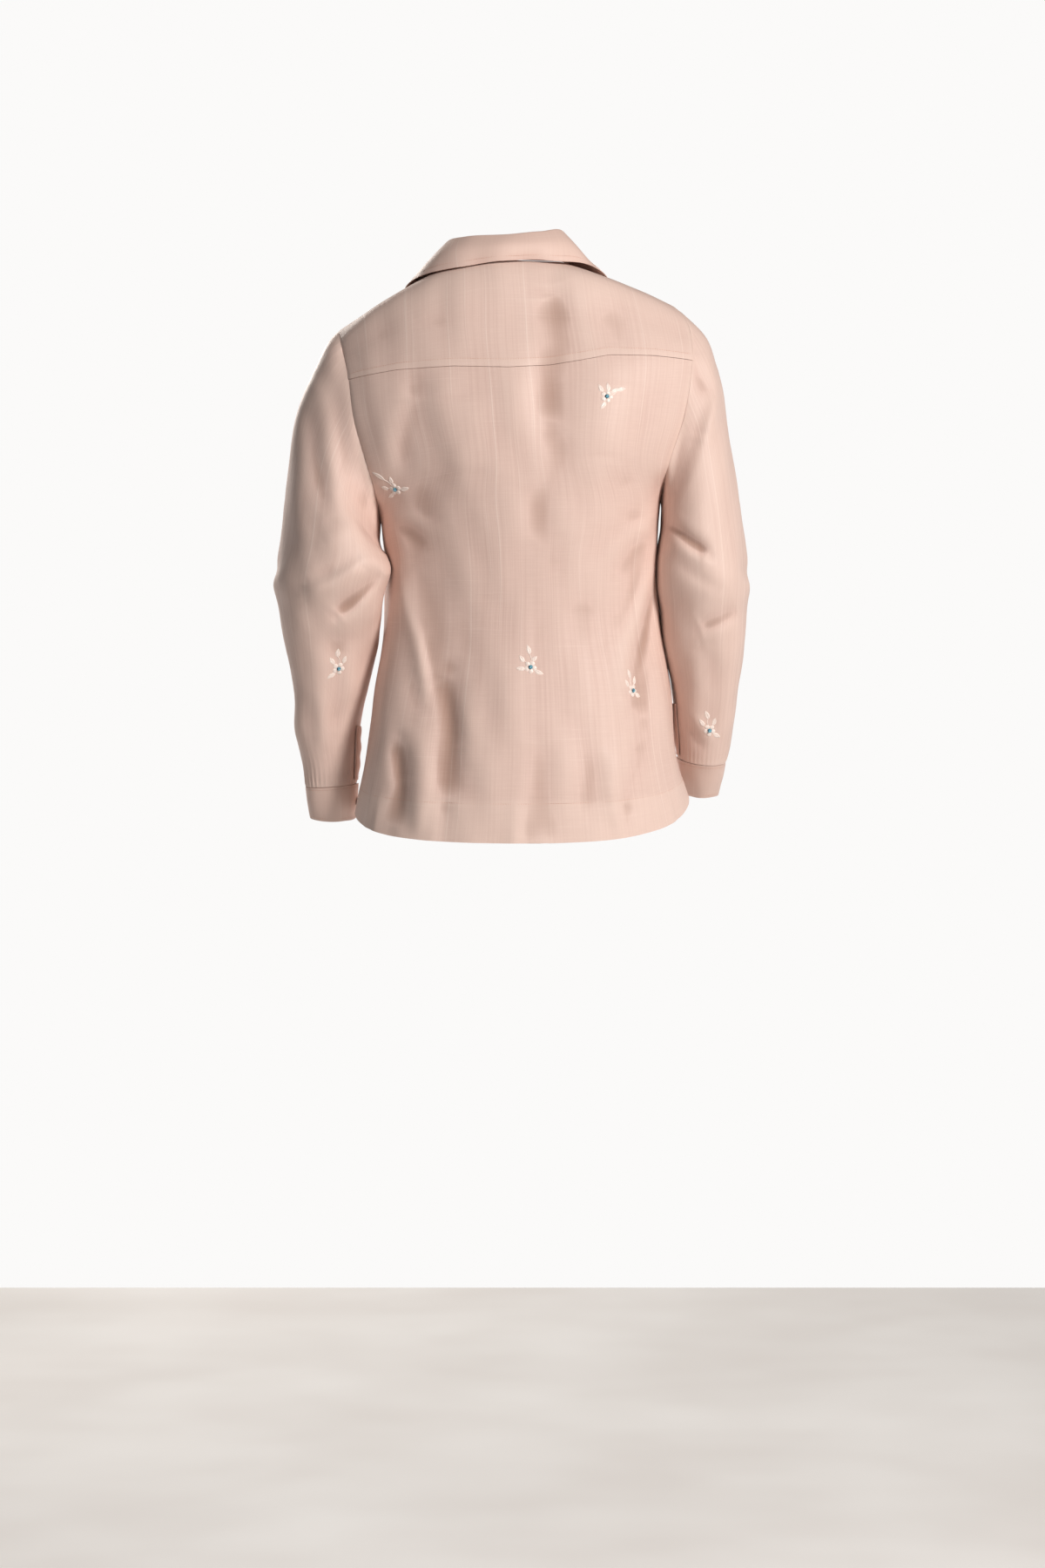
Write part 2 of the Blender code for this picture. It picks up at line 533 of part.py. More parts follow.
def armhole_normals(side, v, of_sleeve=False):
    """Directions through the thickness at armhole places v, as the torso or the sleeve uses them."""
    v = np.asarray(v, float)
    own = torso_normals(np.full(v.shape, float(side)), v)
    fine = np.linspace(0, 1, 801)[:-1]
    places = armhole_places(fine)
    places[0] = RIDGE
    back = fine <= 0.5
    share = np.where(
        v <= RIDGE,
        np.interp(v, places[back][::-1], fine[back][::-1]),
        np.interp(v, places[~back][::-1], fine[~back][::-1]),
    )
    sleeve = tube_normals(sleeve_rows(side), share, np.zeros(v.shape), side)
    return shared(sleeve, own) if of_sleeve else shared(own, sleeve)


def side_normals(side, v):
    """Directions through the thickness at a side seam, the same for the back and the front."""
    back = torso_normals(float(side), np.minimum(v, HEM_FRONT - v))
    front = torso_normals(float(side), np.maximum(v, HEM_FRONT - v))
    return unit(back + front)


def torso_wall(name, u, v, first=True, last=True, sides=True, lift=None, colour="blush"):
    """A piece of the torso over grids u and v."""
    outer = torso(u, v)
    normals = torso_normals(u, v)
    for j in (0, -1):
        if abs(abs(u[0, j]) - 1) < 1e-9 or abs(abs(u[-1, j]) - 1) < 1e-9:
            side = np.sign(u[-1, j])
            at = v[:, j]
            low = (at < UNDER_BACK - 1e-9) | (at > UNDER_FRONT + 1e-9)
            if low.any():
                normals[low, j] = side_normals(side, at[low])
            if (~low).any():
                normals[~low, j] = armhole_normals(side, at[~low])
    outer = pulled(outer, first, last, sides)
    if lift is not None:
        outer = outer + unit(normals) * lift[..., None]
    return wall(name, outer, outer - normals * WALL, colour=colour)


# ---- the pieces ----


def back():
    """From the hem to the yoke seam."""
    low = np.repeat(np.linspace(0, UNDER_BACK, LOW_ROWS + 1)[:, None], len(COLUMNS), axis=1)
    high = UNDER_BACK + UP_THE_BACK[1:, None] * (YOKE_LINE - UNDER_BACK)
    v = np.concatenate([low, high])
    u = np.broadcast_to(COLUMNS, v.shape)
    torso_wall("back", u, v, first=False)


def yoke():
    """From the back yoke seam over the shoulders to the front yoke seams, with the neck cut out."""
    start = np.stack([COLUMNS, YOKE_LINE], axis=1)
    end = top_path()
    share = np.linspace(0, 1, YOKE_ROWS + 1)[:, None, None]
    grid = start + share * (end - start)
    torso_wall("yoke", grid[..., 0], grid[..., 1], colour="doubled")


def front_edge(side, v):
    """Where across the torso a front's edge is at places v: the roll line, then straight down past the centre."""
    corner = neck_path(NECK_COLUMNS + 1)[-1, 0]
    waist = TORSO[rib_number("front waist")]
    turn = math.radians(waist.turn)
    past = -math.asin(OVERLAP / (waist.left[0] - waist.middle[0]) * math.sin(turn)) / turn
    share = np.clip((np.asarray(v) - FRONT_YOKE) / (BREAK - FRONT_YOKE), 0, 1)
    return side * (corner + (past - corner) * share)


def front_rows():
    high = FRONT_YOKE + DOWN_THE_FRONT * (UNDER_FRONT - FRONT_YOKE)
    return np.concatenate([high, np.linspace(UNDER_FRONT, HEM_FRONT, LOW_ROWS + 1)[1:]])


LAP_SHARES = np.array([0.0, 0.13, 0.23, 0.40, 0.60, 0.80, 1.0])  # columns of a front where it laps


def front(name, side):
    """One front panel. The wearer's right one lies under the left one where they lap."""
    rows = front_rows()
    edge = front_edge(side, rows)
    lapped = np.clip((rows - FRONT_YOKE) / (0.6 * (BREAK - FRONT_YOKE)), 0, 1)[:, None]
    share = np.linspace(0, 1, EDGE_COLUMNS + 1) * (1 - lapped) + LAP_SHARES * lapped
    u = edge[:, None] + (side - edge)[:, None] * share
    v = np.repeat(rows[:, None], u.shape[1], axis=1)
    lift = None
    if side < 0:
        lift = -(WALL + LAP_SPACE) * lapped * (LAP_SHARES < 0.2)
    torso_wall(name, u, v, last=False, lift=lift)


def lapel(name, side):
    """The turned-out top of a front: it lies on the front from the roll line outwards."""
    rows = np.linspace(FRONT_YOKE + 0.004, BREAK - 0.012, 8)
    edge = front_edge(side, rows)
    edge = np.where(edge * side < 0.004, side * 0.004, edge)
    share = (rows - rows[0]) / (rows[-1] - rows[0])
    width = 0.052 * (1 - share) ** 0.75 * (1 + 0.5 * share) + 0.0045
    across = np.linspace(0, 1, 5)
    here = torso(edge, rows)
    step = torso(edge + side * 0.01, rows)
    per_metre = 0.01 / np.linalg.norm(step - here, axis=1)
    u = edge[:, None] + side * (width * per_metre)[:, None] * across
    v = rows[:, None] + 0.010 * across * (1 - share)[:, None]
    points = torso(u, v)
    normals = torso_normals(u, v)
    clear = LAYER + 0.0012 + 0.002 * np.sin(np.pi * np.clip(across * 1.6, 0, 1))
    inner = points + normals * clear[None, :, None]
    wall(name, inner + normals * WALL, inner, colour="doubled")


def collar():
    """One strip of cloth round the neck: it stands up from the neck seam, rolls and falls over the yoke."""
    half = neck_path(2 * NECK_COLUMNS + 1)
    path = np.concatenate([half[:0:-1] * (-1, 1), half])
    shares = np.linspace(-1, 1, len(path))
    knots = np.array([t.share for t in COLLAR])
    rows = np.repeat(np.array([(*t.roll, t.reach, t.clear) for t in COLLAR])[:, None], len(shares), axis=1)
    turned = spline(rows, knots, shares)
    roll, reach, clear = turned[:, :3], turned[:, 3], turned[:, 4:] + WALL + LAYER
    u, v = path.T
    seam, normal = torso(u, v), torso_normals(u, v)
    out_u, out_v, away = away_from_neck(u, v)
    edge_u, edge_v = u + out_u * reach, v + out_v * reach
    edge = torso(edge_u, edge_v) + torso_normals(edge_u, edge_v) * clear
    half_u, half_v = u + out_u * reach / 2, v + out_v * reach / 2
    bed = torso(half_u, half_v) + torso_normals(half_u, half_v) * (clear + 0.003)
    base = seam - away * SEAM + normal * 0.0002
    along = unit(np.gradient(roll, axis=0))
    up = unit(roll - base - along * np.einsum("ij,ij->i", roll - base, along)[:, None])
    lean = unit(np.cross(up, along) * np.sign(np.einsum("ij,ij->i", np.cross(up, along), away))[:, None])
    inside = roll - lean * 0.0035 - up * 0.003
    outside = roll + lean * 0.0045 - up * 0.0045
    # The fall hangs clear behind the neck, and lies on the chest in front.
    hanging = (outside + edge) / 2 + lean * 0.004 + normal * 0.002
    lying = np.clip((np.abs(shares) - 0.45) / 0.45, 0, 1)[:, None] * 0.75
    fall = hanging * (1 - lying) + bed * lying
    points = np.array([base, (base + inside) / 2, inside, roll, outside, fall, edge])
    places = np.linspace(0, len(points) - 1, 11)
    grid = np.array([spline(points, np.arange(7.0), np.full(len(u), t)) for t in places])
    normals = unit(np.cross(np.gradient(grid, axis=1), np.gradient(grid, axis=0)))
    wall("collar", grid, grid - normals * WALL, colour="doubled")


def away_from_neck(u, v):
    """Changes of u and of v that move one metre straight away from the neck seam, and that direction."""
    centre = torso(u, v)
    slopes = np.stack([torso(u + STEP, v) - centre, torso(u, v + STEP) - centre], axis=2) / STEP
    out = unit(np.cross(torso_normals(u, v), np.gradient(centre, axis=0)))
    moves = np.array([np.linalg.lstsq(slope, o, rcond=None)[0] for slope, o in zip(slopes, out)])
    return moves[:, 0], moves[:, 1], out


SLEEVE_ROWS = 15


def cuff_rows(side):
    rings = LEFT_CUFF if side > 0 else RIGHT_CUFF
    sleeve_end = sleeve_rows(side)

    def rows(share):
        return np.concatenate([sleeve_end(share)[-1:], ring_points(rings, share)])

    return rows


def sleeve(name, side):
    """A tube from the armhole to the cuff seam."""
    shares = armhole_shares(side)
    places = armhole_places(shares)
    v = np.linspace(0, 1, SLEEVE_ROWS + 1)
    s_grid, v_grid = np.meshgrid(shares, v)
    rows = sleeve_rows(side)
    outer = tube(rows, s_grid, v_grid)
    normals = tube_normals(rows, s_grid, v_grid, side)
    normals[0] = armhole_normals(side, places, of_sleeve=True)
    cuff_top = tube_normals(cuff_rows(side), shares, 0 * shares, side)
    normals[-1] = shared(normals[-1], cuff_top)
    outer = pulled(outer, sides=False)
    wall(name, outer, outer - normals * WALL, closed=True)


CUFF_LAP = 2  # columns of a cuff's end that lap over its start
LEFT_SLIT, RIGHT_SLIT = 0.40, 0.40  # about where round the wrist a cuff opens


def slit_share(side):
    """Where a cuff opens: the sleeve's column nearest to the slit."""
    shares = armhole_shares(side)
    slit = LEFT_SLIT if side > 0 else RIGHT_SLIT
    return shares[np.argmin(np.abs(shares - slit))]


def cuff_run(side):
    """Shares of a cuff's way round from its opening, with the columns of the sleeve and then the lap."""
    run = np.sort((armhole_shares(side) - slit_share(side)) % 1.0)
    return np.concatenate([run, 1 + run[: CUFF_LAP + 1]])


def cuff_lift(side, run):
    """How far out a cuff is at a share of its run, so that its end laps over its start."""
    last = cuff_run(side)[-CUFF_LAP - 2]
    t = np.clip((run - last + 0.02) / (1.0 - last + 0.01), 0, 1)
    return (WALL + LAYER + 0.0004) * t * t * (3 - 2 * t)


def cuff(name, side):
    slit, run = slit_share(side), cuff_run(side)
    run_grid, v_grid = np.meshgrid(run, np.linspace(0, 1, 5))
    rows = cuff_rows(side)
    outer = tube(rows, slit + run_grid, v_grid)
    normals = tube_normals(rows, slit + run_grid, v_grid, side)
    sleeve_end = tube_normals(sleeve_rows(side), slit + run, 0 * run + 1, side)
    normals[0] = shared(normals[0], sleeve_end)
    outer = pulled(outer, last=False, sides=False)
    outer[0] += unit(outer[1] - outer[0]) * SEAM
    outer = outer + normals * cuff_lift(side, run_grid)[..., None]
    wall(name, outer, outer - normals * WALL, colour="doubled")


def placket(name, side):
    """The strip that binds the slit above a cuff, lying on the sleeve."""
    v = np.linspace(0.845, 0.990, 7)
    share = slit_share(side) + np.linspace(0.00, 0.055, 3)
    s_grid, v_grid = np.meshgrid(share, v)
    rows = sleeve_rows(side)
    points = tube(rows, s_grid, v_grid)
    normals = tube_normals(rows, s_grid, v_grid, side)
    inner = points + normals * (LAYER + 0.0006)
    wall(name, inner + normals * WALL, inner, colour="doubled")


def button(name, place, out, up):
    """A flat button on the cloth, facing out."""
    bpy.ops.mesh.primitive_cylinder_add(vertices=20, radius=BUTTON_RADIUS, depth=BUTTON_THICK)
    obj = bpy.context.object
    obj.name = name
    obj.data.name = name
    z = Vector(out).normalized()
    x = Vector(up).cross(z).normalized()
    turn = Matrix((x, z.cross(x), z)).transposed().to_4x4()
    obj.matrix_world = Matrix.Translation(Vector(place) + z * (BUTTON_THICK / 2 + 0.0006)) @ turn
    bevel = obj.modifiers.new("rim", "BEVEL")
    bevel.width = 0.0006
    bevel.segments = 1
    bevel.limit_method = "ANGLE"
    obj.data.materials.append(MATERIALS["pearl"])


FRONT_BUTTONS = (-0.192, -0.282, -0.372, -0.462, -0.552)  # heights


def buttons():
    v = np.linspace(BREAK, HEM_FRONT, 200)
    line = torso(0 * v, v)
    for i, height in enumerate(FRONT_BUTTONS):
        at = np.interp(-height, -line[:, 2], v)
        place, out = torso(0.0, at), torso_normals(0.0, at)
        button(f"front_button_{i + 1}", place, out, (0, 0, 1))
    for name, side in (("left", 1), ("right", -1)):
        rows = cuff_rows(side)
        run = (1 + cuff_run(side)[-1]) / 2
        share = slit_share(side) + run
        out = tube_normals(rows, share, 0.5, side)
        place = tube(rows, share, 0.5) + out * cuff_lift(side, run)
        button(f"cuff_button_{name}", place, out, (0, 0, 1))


def material(name, colour, roughness, sheen=0.0):
    m = bpy.data.materials.new(name)
    m.use_nodes = True
    shader = m.node_tree.nodes["Principled BSDF"]
    shader.inputs["Base Color"].default_value = (*colour, 1)
    shader.inputs["Roughness"].default_value = roughness
    shader.inputs["Metallic"].default_value = 0.0
    shader.inputs["Sheen Weight"].default_value = sheen
    m.diffuse_color = (*colour, 1)
    return m


for old in list(bpy.data.objects):
    bpy.data.objects.remove(old, do_unlink=True)

MATERIALS = {
    "blush": material("blush organza", (0.68, 0.52, 0.45), 0.55, 0.4),
    "doubled": material("doubled blush organza", (0.66, 0.46, 0.40), 0.55, 0.4),
    "pearl": material("shell button", (0.80, 0.70, 0.64), 0.25),
}

back()
yoke()
front("front_left", 1)
front("front_right", -1)
lapel("lapel_left", 1)
lapel("lapel_right", -1)
collar()
sleeve("sleeve_left", 1)
sleeve("sleeve_right", -1)
cuff("cuff_left", 1)
cuff("cuff_right", -1)
placket("placket_left", 1)
placket("placket_right", -1)
buttons()
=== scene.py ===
"""A blush organza barong shirt with a camp collar, cut, sewn and embroidered piece by piece.

The torso is one surface, torso(u, v): u runs across, from -1 at the right end to 1 at the left one, and v
runs along the cloth from the back hem, over the shoulders and down to the front hem. A sleeve or cuff is a
tube, tube(rows, share, v), with its share of the way round from the outermost point past the back. Every
piece is a pattern of places on these surfaces, so it meets its neighbours along their seams.
"""

import math
from functools import lru_cache
from typing import NamedTuple

import bmesh
import bpy
import numpy as np
from bpy.props import FloatProperty, FloatVectorProperty, PointerProperty
from bpy.types import Operator, Panel, PropertyGroup
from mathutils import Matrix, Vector


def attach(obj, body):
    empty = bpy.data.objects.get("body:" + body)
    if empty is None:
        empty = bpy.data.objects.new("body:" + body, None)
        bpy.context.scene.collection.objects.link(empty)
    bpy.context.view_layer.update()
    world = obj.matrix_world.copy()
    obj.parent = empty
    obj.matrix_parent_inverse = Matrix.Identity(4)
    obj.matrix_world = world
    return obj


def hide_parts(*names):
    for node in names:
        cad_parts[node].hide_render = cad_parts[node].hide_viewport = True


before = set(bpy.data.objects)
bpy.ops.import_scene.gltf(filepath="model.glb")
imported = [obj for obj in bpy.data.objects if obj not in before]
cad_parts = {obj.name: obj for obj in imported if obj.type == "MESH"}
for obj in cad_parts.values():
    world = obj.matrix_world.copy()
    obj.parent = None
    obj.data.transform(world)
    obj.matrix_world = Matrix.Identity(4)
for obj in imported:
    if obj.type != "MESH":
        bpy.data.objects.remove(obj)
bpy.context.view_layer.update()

bl_info = {
    "name": "Barong shirt maker",
    "version": (1, 0, 0),
    "blender": (4, 5, 0),
    "location": "View3D > Sidebar > Barong shirt",
    "description": "Cuts, sews and embroiders a sheer camp-collar barong shirt",
    "category": "Add Mesh",
}

# ---- the worn shape, as sections ----

CLOTH = 0.0009  # the cloth's thickness as drawn
SEAM = 0.0005  # clear space between two pieces where they are sewn
LAYER = 0.0004  # clear space between two layers of cloth
WALL = 0.0015  # the solids' cloth, which the layers clear
OVERLAP = 0.017  # how far each front reaches past the centre line
STEP = 1e-4  # for slopes of the form


class Rib(NamedTuple):
    """A section of the torso, from its middle to an end on each side, at the side seam or the armhole."""

    name: str
    middle: tuple  # x, y, z on the centre line
    left: tuple  # x, y, z of the end on the wearer's left
    right: tuple
    turn: float  # degrees that the cloth turns from the middle to an end
    fall: float  # 1 where the height changes evenly along the rib, more where it changes near the ends


TORSO = (
    Rib("back hem", (-0.022, 0.134, -0.684), (0.182, 0.004, -0.656), (-0.2255, 0.004, -0.637), 88, 2.6),
    Rib("back seat", (-0.022, 0.130, -0.600), (0.1700, 0.006, -0.596), (-0.2125, 0.006, -0.590), 86, 2.0),
    Rib("back hip", (-0.022, 0.120, -0.510), (0.1555, 0.010, -0.508), (-0.2030, 0.010, -0.505), 84, 2.0),
    Rib("back waist", (-0.022, 0.111, -0.425), (0.1445, 0.010, -0.425), (-0.1895, 0.016, -0.420), 80, 2.0),
    Rib("back ribs", (-0.021, 0.114, -0.350), (0.1440, 0.008, -0.350), (-0.1865, 0.018, -0.345), 80, 2.0),
    Rib("back underarm", (-0.019, 0.122, -0.283), (0.1490, 0.008, -0.302), (-0.1915, 0.008, -0.277), 84, 2.0),
    Rib("back armhole", (-0.016, 0.127, -0.225), (0.1560, 0.060, -0.255), (-0.1985, 0.060, -0.232), 62, 2.0),
    Rib(
        "shoulder blades", (-0.012, 0.126, -0.170), (0.1790, 0.067, -0.184), (-0.2155, 0.067, -0.176), 52,
        2.0,
    ),
    Rib("back yoke", (-0.008, 0.115, -0.117), (0.1865, 0.057, -0.131), (-0.2275, 0.057, -0.108), 48, 1.8),
    Rib("yoke crest", (-0.004, 0.094, -0.060), (0.1930, 0.037, -0.101), (-0.2255, 0.036, -0.074), 42, 1.8),
    Rib("back neck", (0.000, 0.058, 0.012), (0.1965, 0.017, -0.078), (-0.2150, 0.016, -0.050), 34, 1.7),
    Rib(
        "shoulder ridge", (0.000, 0.008, 0.031), (0.1970, -0.002, -0.068), (-0.2050, -0.002, -0.039), 30, 1.2,
    ),
    Rib("front neck", (0.000, -0.042, 0.004), (0.1945, -0.020, -0.080), (-0.2100, -0.020, -0.051), 34, 1.3),
    Rib("front yoke", (-0.002, -0.078, -0.045), (0.1885, -0.038, -0.106), (-0.2140, -0.038, -0.080), 44, 1.4),
    Rib("high chest", (-0.004, -0.104, -0.098), (0.1780, -0.052, -0.147), (-0.2080, -0.052, -0.124), 52, 1.6),
    Rib("chest", (-0.008, -0.122, -0.158), (0.1650, -0.058, -0.202), (-0.2000, -0.058, -0.180), 58, 1.8),
    Rib(
        "front armhole", (-0.014, -0.131, -0.222), (0.1530, -0.046, -0.264), (-0.1950, -0.046, -0.240), 68,
        2.0,
    ),
    Rib(
        "front underarm", (-0.018, -0.131, -0.282), (0.1490, 0.008, -0.302), (-0.1915, 0.008, -0.277), 96,
        2.0,
    ),
    Rib("front ribs", (-0.021, -0.126, -0.350), (0.1440, 0.008, -0.350), (-0.1865, 0.018, -0.345), 100, 2.0),
    Rib("front waist", (-0.022, -0.121, -0.425), (0.1445, 0.010, -0.425), (-0.1895, 0.016, -0.420), 100, 2.0),
    Rib("front hip", (-0.022, -0.124, -0.508), (0.1555, 0.010, -0.508), (-0.2030, 0.010, -0.505), 96, 2.0),
    Rib("front seat", (-0.022, -0.131, -0.596), (0.1700, 0.006, -0.596), (-0.2125, 0.006, -0.590), 94, 2.0),
    Rib("front hem", (-0.022, -0.136, -0.674), (0.182, 0.004, -0.656), (-0.2255, 0.004, -0.637), 92, 2.6),
)
TORSO_FULLNESS = 0.86  # under 1 makes the ribs squarer than an ellipse

YOKE_SEAM = (  # the back yoke seam: share of the way to an end, height
    (-1.00, -0.1080), (-0.75, -0.1040), (-0.50, -0.1040), (-0.20, -0.1165), (0.00, -0.1195),
    (0.30, -0.1180), (0.65, -0.1215), (1.00, -0.1310),
)
NECK = (  # the neck seam, from the centre back to the yoke's front edge: rib, share across, ribs past it
    ("back neck", 0.00, 0.00), ("back neck", 0.12, 0.03), ("back neck", 0.23, 0.16),
    ("back neck", 0.32, 0.48), ("shoulder ridge", 0.375, 0.00), ("front neck", 0.390, 0.00),
    ("front yoke", 0.375, 0.00),
)
BREAK_PLACE = 0.25  # where the roll line starts: this share of the way from the chest rib to the next


class Turn(NamedTuple):
    """How the collar stands and falls at a share of the neck seam from the centre back to its front end."""

    share: float
    roll: tuple  # x, y, z of the roll line
    reach: float  # how far the fall's edge lies from the neck seam
    clear: float  # and how far it stands off the yoke


COLLAR = (  # from its front end on the wearer's right, share -1, round the back to the other, share 1
    Turn(-1.00, (-0.0720, -0.076, -0.0440), 0.060, 0.0022),
    Turn(-0.78, (-0.0770, -0.034, 0.0160), 0.047, 0.0045),
    Turn(-0.55, (-0.0730, 0.010, 0.0490), 0.026, 0.0050),
    Turn(-0.28, (-0.0440, 0.041, 0.0475), 0.007, 0.0040),
    Turn(0.00, (-0.004, 0.050, 0.0430), 0.008, 0.0030),
    Turn(0.28, (0.0440, 0.039, 0.0415), 0.014, 0.0022),
    Turn(0.55, (0.0690, 0.008, 0.0350), 0.030, 0.0022),
    Turn(0.78, (0.0705, -0.034, 0.0070), 0.048, 0.0022),
    Turn(1.00, (0.0660, -0.076, -0.0480), 0.060, 0.0022),
)


class Fold(NamedTuple):
    """A soft ridge, or where height is negative a trough, along a path of x, z or, on the sides, of y, z."""

    name: str
    facing: tuple  # the axis that the cloth faces along, and which way
    past: float  # only cloth further out than this is moved
    path: tuple
    half_width: float
    height: float


BACK, FRONT, LEFT, RIGHT = (1, 1), (1, -1), (0, 1), (0, -1)


def fold_table(*groups):
    """Folds in their order, from groups of them: what they face, how far out they start, and their rows."""
    return tuple(Fold(name, facing, past, *shape) for facing, past, rows in groups for name, *shape in rows)


FOLDS = fold_table(
    (BACK, 0.03, (
        ("spine hollow", ((-0.058, -0.01), (-0.066, -0.09), (-0.052, -0.19)), 0.022, -0.006),
        ("left blade", ((0.06, -0.15), (0.052, -0.25)), 0.034, 0.004),
        ("right blade", ((-0.13, -0.13), (-0.125, -0.23)), 0.034, 0.004),
        ("left tuck", ((0.131, -0.362), (0.104, -0.44), (0.096, -0.5)), 0.016, 0.005),
        ("left flank trough", ((0.064, -0.48), (0.06, -0.56), (0.07, -0.64)), 0.016, -0.007),
        ("left hem trough", ((0.124, -0.56), (0.122, -0.62), (0.135, -0.67)), 0.013, -0.006),
        ("left hem swell", ((0.098, -0.54), (0.094, -0.68)), 0.014, 0.004),
        ("right panel edge", ((-0.186, -0.345), (-0.152, -0.45), (-0.143, -0.515)), 0.015, 0.006),
    )),
    (BACK, 0.02, (
        ("right panel", ((-0.172, -0.42), (-0.168, -0.54)), 0.018, -0.005),
    )),
    (BACK, 0.03, (
        ("right hem sweep", ((-0.141, -0.57), (-0.13, -0.64)), 0.022, 0.005),
        ("hem middle trough", ((-0.04, -0.56), (-0.048, -0.69)), 0.026, -0.004),
    )),
    (BACK, -0.01, (
        ("left elbow trough", ((0.14, -0.36), (0.168, -0.385), (0.2, -0.414)), 0.012, -0.006),
        ("left elbow ridge", ((0.165, -0.352), (0.205, -0.378), (0.24, -0.392)), 0.014, 0.004),
    )),
    (BACK, 0.0, (
        ("left arm trough", ((0.236, -0.15), (0.228, -0.23), (0.206, -0.3)), 0.014, -0.004),
        ("right cap ridge", ((-0.236, -0.087), (-0.262, -0.142), (-0.238, -0.2)), 0.014, 0.004),
    )),
    (BACK, -0.01, (
        ("right arm crease", ((-0.192, -0.305), (-0.218, -0.322), (-0.246, -0.342)), 0.01, -0.006),
    )),
    (BACK, -0.02, (
        ("right forearm trough", ((-0.286, -0.408), (-0.262, -0.42), (-0.236, -0.43)), 0.016, -0.004),
    )),
    (FRONT, 0.04, (
        ("front left fall", ((0.092, -0.19), (0.1, -0.42), (0.11, -0.66)), 0.028, 0.005),
        ("front left trough", ((0.05, -0.42), (0.058, -0.67)), 0.022, -0.006),
        ("front right fall", ((-0.12, -0.18), (-0.138, -0.43), (-0.14, -0.65)), 0.028, 0.005),
        ("front right trough", ((-0.096, -0.45), (-0.092, -0.67)), 0.022, -0.006),
    )),
)
FOLD_EDGE = 0.03  # how softly a fold fades out towards its past


class Ring(NamedTuple):
    """A section of a sleeve or cuff: its outermost and innermost points and its reach back and front."""

    name: str
    outer: tuple  # x, y, z on the side away from the torso
    inner: tuple
    back: float  # half depths
    front: float
    tip: float  # how much higher the back stands than the middle


LEFT_SLEEVE = (
    Ring("crown", (0.2135, 0.001, -0.086), (0.1500, 0.007, -0.3120), 0.064, 0.058, 0.000),
    Ring("cap", (0.2275, 0.002, -0.113), (0.1505, 0.006, -0.3210), 0.066, 0.060, 0.000),
    Ring("head", (0.2500, 0.004, -0.173), (0.1478, 0.018, -0.3330), 0.071, 0.063, 0.000),
    Ring("biceps", (0.2620, 0.010, -0.252), (0.1398, 0.038, -0.3440), 0.074, 0.062, 0.000),
    Ring("upper arm", (0.2710, 0.018, -0.318), (0.1355, 0.050, -0.3620), 0.073, 0.060, 0.000),
    Ring("elbow", (0.2780, 0.028, -0.372), (0.1440, 0.042, -0.3880), 0.068, 0.059, 0.003),
    Ring("crook", (0.2715, 0.022, -0.412), (0.1490, 0.024, -0.4160), 0.064, 0.060, 0.005),
    Ring("forearm", (0.2635, 0.010, -0.456), (0.1545, -0.010, -0.4550), 0.060, 0.056, 0.006),
    Ring("mid forearm", (0.2555, -0.005, -0.508), (0.1650, -0.024, -0.5020), 0.052, 0.049, 0.005),
    Ring("low forearm", (0.2568, -0.022, -0.558), (0.1758, -0.040, -0.5510), 0.044, 0.041, 0.003),
    Ring("gathers", (0.2474, -0.041, -0.604), (0.1790, -0.053, -0.5980), 0.036, 0.034, 0.000),
    Ring("cuff seam", (0.2452, -0.048, -0.625), (0.1798, -0.059, -0.6210), 0.032, 0.031, -0.002),
)
RIGHT_SLEEVE = (
    Ring("crown", (-0.2460, 0.001, -0.076), (-0.1930, 0.007, -0.2870), 0.064, 0.058, 0.000),
    Ring("cap", (-0.2600, 0.002, -0.112), (-0.1930, 0.006, -0.2960), 0.066, 0.060, 0.000),
    Ring("head", (-0.2720, 0.004, -0.178), (-0.1925, 0.008, -0.3110), 0.071, 0.063, 0.000),
    Ring("biceps", (-0.2835, 0.010, -0.260), (-0.1890, 0.012, -0.3290), 0.074, 0.062, 0.000),
    Ring("upper arm", (-0.2930, 0.018, -0.326), (-0.1855, 0.016, -0.3500), 0.072, 0.060, 0.000),
    Ring("elbow", (-0.2975, 0.026, -0.370), (-0.1865, 0.018, -0.3780), 0.066, 0.058, 0.002),
    Ring("crook", (-0.2955, 0.020, -0.412), (-0.1905, 0.006, -0.4080), 0.061, 0.057, 0.003),
    Ring("forearm", (-0.2935, 0.008, -0.458), (-0.1940, -0.010, -0.4520), 0.055, 0.052, 0.003),
    Ring("mid forearm", (-0.2870, -0.008, -0.508), (-0.2045, -0.026, -0.5000), 0.048, 0.045, 0.002),
    Ring("low forearm", (-0.2815, -0.026, -0.556), (-0.2105, -0.042, -0.5460), 0.042, 0.039, 0.000),
    Ring("gathers", (-0.2785, -0.036, -0.578), (-0.2125, -0.051, -0.5680), 0.037, 0.035, -0.004),
    Ring("cuff seam", (-0.2750, -0.043, -0.594), (-0.2145, -0.058, -0.5880), 0.032, 0.031, -0.007),
)
LEFT_CUFF = (
    Ring("cuff middle", (0.2425, -0.054, -0.645), (0.1812, -0.065, -0.643), 0.0315, 0.0305, -0.003),
    Ring("cuff edge", (0.2385, -0.061, -0.664), (0.1850, -0.071, -0.665), 0.0305, 0.0300, -0.004),
)
RIGHT_CUFF = (
    Ring("cuff middle", (-0.2720, -0.060, -0.616), (-0.2175, -0.074, -0.611), 0.0305, 0.0300, -0.005),
    Ring("cuff edge", (-0.2665, -0.078, -0.637), (-0.2225, -0.091, -0.635), 0.0285, 0.0285, -0.004),
)


# ---- drape: finer creases, and cloth that is nowhere quite even ----

